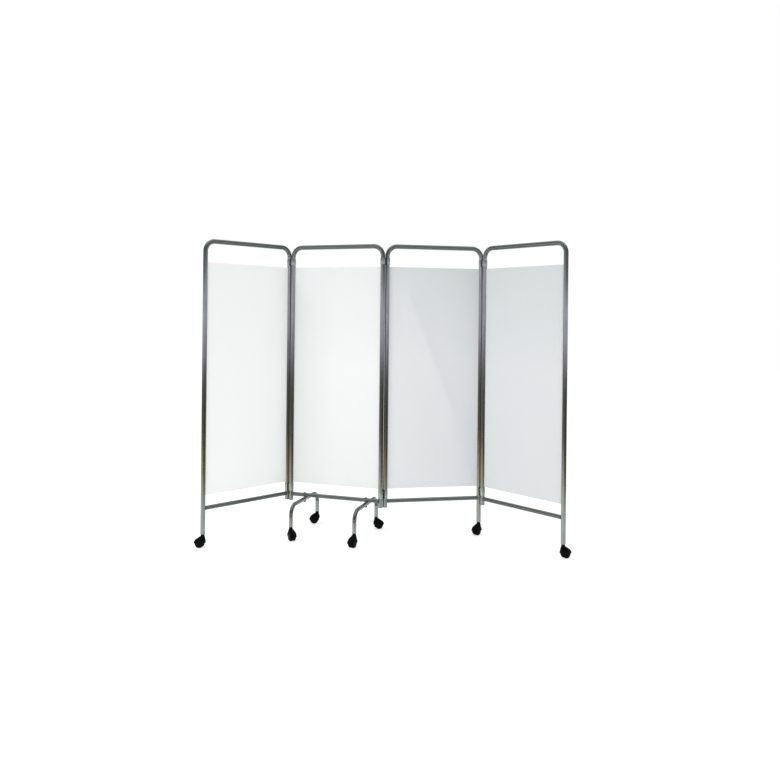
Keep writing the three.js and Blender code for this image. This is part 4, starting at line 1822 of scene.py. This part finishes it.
@dataclass
class Castor:
    """One twin-wheel castor under a leg."""

    name: str
    leg_body: str
    meshes: CastorMeshes

    def build(self) -> None:
        """Sets the castor's pieces on its leg, its swivel and its two wheels."""
        swivel = joint_place(f"swivel_{self.name}")
        place = standing(swivel, joint_place(f"wheel_{self.name}_left"))
        kit, prefix = self.meshes, f"castor_{self.name}"
        stem = kit.bow_stem if self.name.startswith("bow") else kit.upright_stem
        pieces = [
            ("stem_turned", stem, place, self.leg_body, Slot.ZINC, "stem"),
            ("housing_moulded", kit.housing, place, prefix, Slot.CASTOR, "housing"),
            ("axle_pin", kit.axle, place, prefix, Slot.ZINC, "axle"),
        ]
        half_turn = place @ Matrix.Translation((2 * kit.trail, 0, 0)) @ Matrix.Rotation(math.pi, 4, "Z")
        for side, spot in (("left", place), ("right", half_turn)):
            body = f"wheel_{self.name}_{side}"
            pieces.append((f"wheel_{side}_tread", kit.tread, spot, body, Slot.CASTOR, f"wheel_{side}"))
            pieces.append((f"wheel_{side}_hub", kit.hub, spot, body, Slot.CASTOR, None))
        for part, data, spot, body, slot, node in pieces:
            piece = set_down(f"{prefix}_{part}", data, spot, body)
            if node:
                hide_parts(f"{prefix}_{node}")
        LOG.info("castor %s", self.name)


# The photograph's room


@dataclass
class Studio:
    """The floor, the light and the camera."""

    eye: tuple[float, float, float] = (0.0393, -4.2191, 1.2244)
    focal_pixels: float = 756.5
    frame_pixels: float = 781.0
    horizon_pixels: float = 71.1
    roll_degrees: float = 0.6
    sensor: float = 36.0
    floor_size: float = 30.0
    floor_glow: float = 0.42
    fill: float = 0.80

    def camera(self) -> None:
        """Makes the camera, level and looking along +Y, with the horizon above the middle."""
        data = bpy.data.cameras.new("camera")
        data.sensor_width = self.sensor
        data.lens = self.focal_pixels * self.sensor / self.frame_pixels
        data.shift_y = -self.horizon_pixels / self.frame_pixels
        data.clip_end = 100.0
        camera = bpy.data.objects.new("camera", data)
        camera.location = self.eye
        camera.rotation_euler = (math.pi / 2, -math.radians(self.roll_degrees), 0.0)
        bpy.context.scene.collection.objects.link(camera)
        bpy.context.scene.camera = camera

    def floor(self) -> None:
        """Lays the pale floor."""
        mesh = bmesh.new()
        bmesh.ops.create_grid(mesh, x_segments=8, y_segments=8, size=self.floor_size / 2)
        paint = Paint("pale_floor")
        paint.shade(
            Roughness=0.9,
            Specular_IOR_Level=0.1,
            Emission_Color=(1.0, 1.0, 1.0, 1.0),
            Emission_Strength=self.floor_glow,
            Base_Color=paint.ramp(
                paint.noise(scale=0.6, detail=2.0), [(0.0, (0.80, 0.80, 0.80)), (1.0, (0.82, 0.82, 0.82))]
            ),
        )
        floor = bpy.data.objects.new("floor", finished(mesh, "floor", paint.material))
        bpy.context.scene.collection.objects.link(floor)
        floor.visible_glossy = False

    def lamp(self, name: str, spot: Sequence[float], aim: Sequence[float], size: float, power: float) -> None:
        """Hangs a large soft lamp.

        Args:
            name: its name.
            spot: where it is.
            aim: the point it faces.
            size: its side length.
            power: its power in watts.
        """
        data = bpy.data.lights.new(name, "AREA")
        data.shape = "SQUARE"
        data.size = size
        data.energy = power
        lamp = bpy.data.objects.new(name, data)
        lamp.location = spot
        lamp.rotation_mode = "QUATERNION"
        lamp.rotation_quaternion = (Vector(aim) - Vector(spot)).to_track_quat("-Z", "Y")
        lamp.visible_glossy = False
        bpy.context.scene.collection.objects.link(lamp)

    def wall(self, nodes: Nodes, height: Socket, bands: Sequence[tuple[float, Colour]]) -> Socket:
        """What the metal mirrors on one side of the room.

        Args:
            nodes: the room's nodes.
            height: the vertical part of the direction.
            bands: pairs of an elevation in degrees and its colour, lowest first.

        Returns:
            The colour.
        """
        stops = [((math.sin(math.radians(degrees)) + 1) / 2, colour) for degrees, colour in bands]
        return nodes.ramp(nodes.spread(height, 0.0, 1.0, -1.0, 1.0), stops)

    def mirrored(self, nodes: Nodes) -> Socket:
        """The whole room as the metal mirrors it.

        Args:
            nodes: the room's nodes.

        Returns:
            The colour.
        """
        ways = nodes.add("ShaderNodeSeparateXYZ")
        nodes.link(nodes.add("ShaderNodeTexCoord").outputs["Generated"], ways.inputs["Vector"])
        height = ways.outputs["Z"]
        left = self.wall(
            nodes,
            height,
            [
                (-90, (0.46, 0.50, 0.49)),
                (-60, (0.42, 0.46, 0.45)),
                (-35, (0.15, 0.17, 0.16)),
                (-24, (0.24, 0.27, 0.26)),
                (-18, (0.80, 0.86, 0.85)),
                (-13.0, (0.84, 0.91, 0.89)),
                (-12.6, (0.92, 0.82, 0.56)),
                (-10.8, (0.80, 0.67, 0.40)),
                (-9.0, (0.136, 0.109, 0.063)),
                (-4.0, (0.136, 0.136, 0.118)),
                (-2.2, (0.654, 0.545, 0.618)),
                (2.5, (0.854, 0.818, 0.872)),
                (5.0, (0.17, 0.20, 0.19)),
                (30, (0.12, 0.14, 0.13)),
                (60, (0.46, 0.50, 0.48)),
                (90, (0.48, 0.51, 0.50)),
            ],
        )
        right = self.wall(
            nodes,
            height,
            [
                (-90, (0.44, 0.48, 0.47)),
                (-60, (0.38, 0.42, 0.41)),
                (-35, (0.13, 0.15, 0.14)),
                (-24, (0.22, 0.25, 0.24)),
                (-18, (0.69, 0.76, 0.75)),
                (-13.0, (0.73, 0.80, 0.78)),
                (-12.6, (0.128, 0.118, 0.072)),
                (-9.0, (0.063, 0.063, 0.037)),
                (-4.0, (0.082, 0.091, 0.082)),
                (-2.2, (0.491, 0.508, 0.618)),
                (2.5, (0.727, 0.745, 0.836)),
                (5.0, (0.13, 0.16, 0.15)),
                (30, (0.10, 0.12, 0.11)),
                (60, (0.42, 0.46, 0.44)),
                (90, (0.46, 0.49, 0.48)),
            ],
        )
        front = nodes.mix(nodes.spread(ways.outputs["X"], 0.0, 1.0, -0.45, 0.05), left, right)
        behind = self.wall(
            nodes,
            height,
            [
                (-90, (0.44, 0.47, 0.46)),
                (-35, (0.38, 0.41, 0.40)),
                (-24, (0.60, 0.61, 0.60)),
                (6, (0.62, 0.62, 0.60)),
                (12, (0.24, 0.26, 0.25)),
                (90, (0.46, 0.49, 0.48)),
            ],
        )
        return nodes.mix(nodes.spread(ways.outputs["Y"], 0.0, 1.0, 0.25, 0.75), front, behind)

    def room(self) -> None:
        """Surrounds the screen with an even white light, and gives its metal a room to mirror."""
        world = bpy.data.worlds.new("room")
        bpy.context.scene.world = world
        world.use_nodes = True
        nodes = Nodes(world.node_tree)
        nodes.tree.nodes.clear()
        rays = nodes.add("ShaderNodeLightPath")
        seen = nodes.add("ShaderNodeBackground")
        lit = nodes.add("ShaderNodeBackground", Strength=self.fill)
        mirror = nodes.add("ShaderNodeBackground")
        for background in (seen, lit):
            background.inputs["Color"].default_value = (1.0, 1.0, 1.0, 1.0)
        nodes.link(self.mirrored(nodes), mirror.inputs["Color"])
        output = nodes.add("ShaderNodeOutputWorld").inputs["Surface"]
        light = lit.outputs["Background"]
        for kind, background in (("Is Glossy Ray", mirror), ("Is Camera Ray", seen)):
            choice = nodes.add("ShaderNodeMixShader")
            nodes.link(rays.outputs[kind], choice.inputs["Fac"])
            nodes.link(light, choice.inputs[1])
            nodes.link(background.outputs["Background"], choice.inputs[2])
            light = choice.outputs["Shader"]
        nodes.link(light, output)

    def build(self) -> None:
        """Sets up the floor, the lamps, the room and the camera."""
        self.room()
        self.floor()
        self.lamp("lamp_left", spot=(-3.4, -1.9, 3.0), aim=(0.1, 0, 0.8), size=1.2, power=62.0)
        self.lamp("lamp_front", spot=(1.2, -4.6, 3.2), aim=(0, 0, 0.8), size=2.0, power=30.0)
        self.camera()
        scene = bpy.context.scene
        scene.view_settings.view_transform = "Standard"
        scene.view_settings.look = "None"
        LOG.info("studio")


@dataclass
class WardScreen:
    """The whole screen, panel by panel."""

    finishes: Finishes
    upright_end: float = 0.178
    leg_end: float = 0.075
    bow_inset: float = 0.086
    clip_levels: dict[str, tuple[float, float]] = field(
        default_factory=lambda: {"upper": (1.531, 0.035), "lower": (0.227, 0.045)}
    )

    def panel_places(self) -> list[Matrix]:
        """Where each panel stands, with its left upright at the origin and X along it.

        Returns:
            The four frames, from left to right.
        """
        ends = [
            ("swivel_outer_left", "fold_12_b"),
            ("fold_12_a", "fold_23_a"),
            ("fold_23_b", "fold_34_a"),
            ("fold_34_b", "swivel_outer_right"),
        ]
        return [standing(joint_place(left), joint_place(right)) for left, right in ends]

    def creases(self) -> list[tuple[Crease, ...]]:
        """The folds of each sheet, from left to right.

        Returns:
            One group of folds for each sheet.
        """
        return [
            (
                Crease((0.05, 0.95), (0.28, 0.5), depth=0.0025, breadth=0.045),
                Crease((0.10, 0.82), (0.20, 0.62), depth=0.0012, breadth=0.016),
            ),
            (
                Crease((0.10, 0.97), (0.95, 0.70), depth=0.0012, breadth=0.080),
                Crease((0.55, 0.35), (0.60, 0.05), depth=0.0009, breadth=0.060),
            ),
            (
                Crease((0.19, 0.87), (0.97, 0.05), depth=0.0060, breadth=0.070),
                Crease((0.21, 0.88), (0.72, 0.34), depth=0.0022, breadth=0.020),
                Crease((0.03, 0.95), (0.10, 0.10), depth=0.0020, breadth=0.025),
            ),
            (
                Crease((0.95, 0.95), (0.50, 0.30), depth=0.0020, breadth=0.070),
                Crease((0.12, 0.40), (0.60, 0.05), depth=0.0012, breadth=0.050),
            ),
        ]

    def ends(self) -> list[tuple[float, float]]:
        """The heights of each panel's left and right tube ends."""
        short, leg = self.upright_end, self.leg_end
        return [(leg, short), (short, short), (short, leg), (short, leg)]

    def build_panels(self) -> None:
        """Builds the frames, the sheets and the end plugs."""
        for index, (place, folds, (left, right)) in enumerate(
            zip(self.panel_places(), self.creases(), self.ends(), strict=True)
        ):
            number = index + 1
            tubes = TubeFrame(number, place, left, right)
            tubes.build(self.finishes)
            Sheet(number, place, folds).build(self.finishes)
            for side, end, x in (("left", left, 0.0), ("right", right, tubes.pitch)):
                if end == self.upright_end:
                    spot = place @ Matrix.Translation((x, 0, 0))
                    EndPlug(f"end_plug_{number}_{side}", tubes.body, spot).build(self.finishes)

    def build_hinges(self) -> None:
        """Builds the six clips."""
        hinges = [
            ("1_2", "link_12", "fold_12_b", "fold_12_a"),
            ("2_3", "link_23", "fold_23_a", "fold_23_b"),
            ("3_4", "link_34", "fold_34_a", "fold_34_b"),
        ]
        for pair, body, left, right in hinges:
            place = standing(joint_place(left), joint_place(right))
            for level, (bottom, height) in self.clip_levels.items():
                HingeClip(f"hinge_clip_{pair}_{level}", body, place, bottom, height).build(self.finishes)

    def build_feet(self) -> None:
        """Builds the bow feet."""
        second = self.panel_places()[1]
        pitch = (joint_place("fold_23_a") - joint_place("fold_12_a")).length
        for side, x in (("left", self.bow_inset), ("right", pitch - self.bow_inset)):
            BowFoot(side, second @ Matrix.Translation((x, 0, 0))).build(self.finishes)

    def build_castors(self) -> None:
        """Builds the seven castors."""
        meshes = CastorKit().make(self.finishes)
        owners = {"outer_left": "panel_1", "middle": "panel_3", "outer_right": "panel_4"}
        names = ["outer_left", "bow_left_front", "bow_left_rear", "bow_right_front", "bow_right_rear"]
        for name in [*names, "middle", "outer_right"]:
            Castor(name, owners.get(name, "panel_2"), meshes).build()

    def steps(self) -> list[Callable[[], None]]:
        """What is built, in order."""
        return [self.build_panels, self.build_hinges, self.build_feet, self.build_castors]


def main() -> None:
    """Builds the screen and its studio."""
    logging.basicConfig(level=logging.INFO, format="%(name)s: %(message)s")
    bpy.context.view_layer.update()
    Studio().build()
    screen = WardScreen(Finishes.build())
    for step in screen.steps():
        step()


if __name__ == "__main__":
    main()
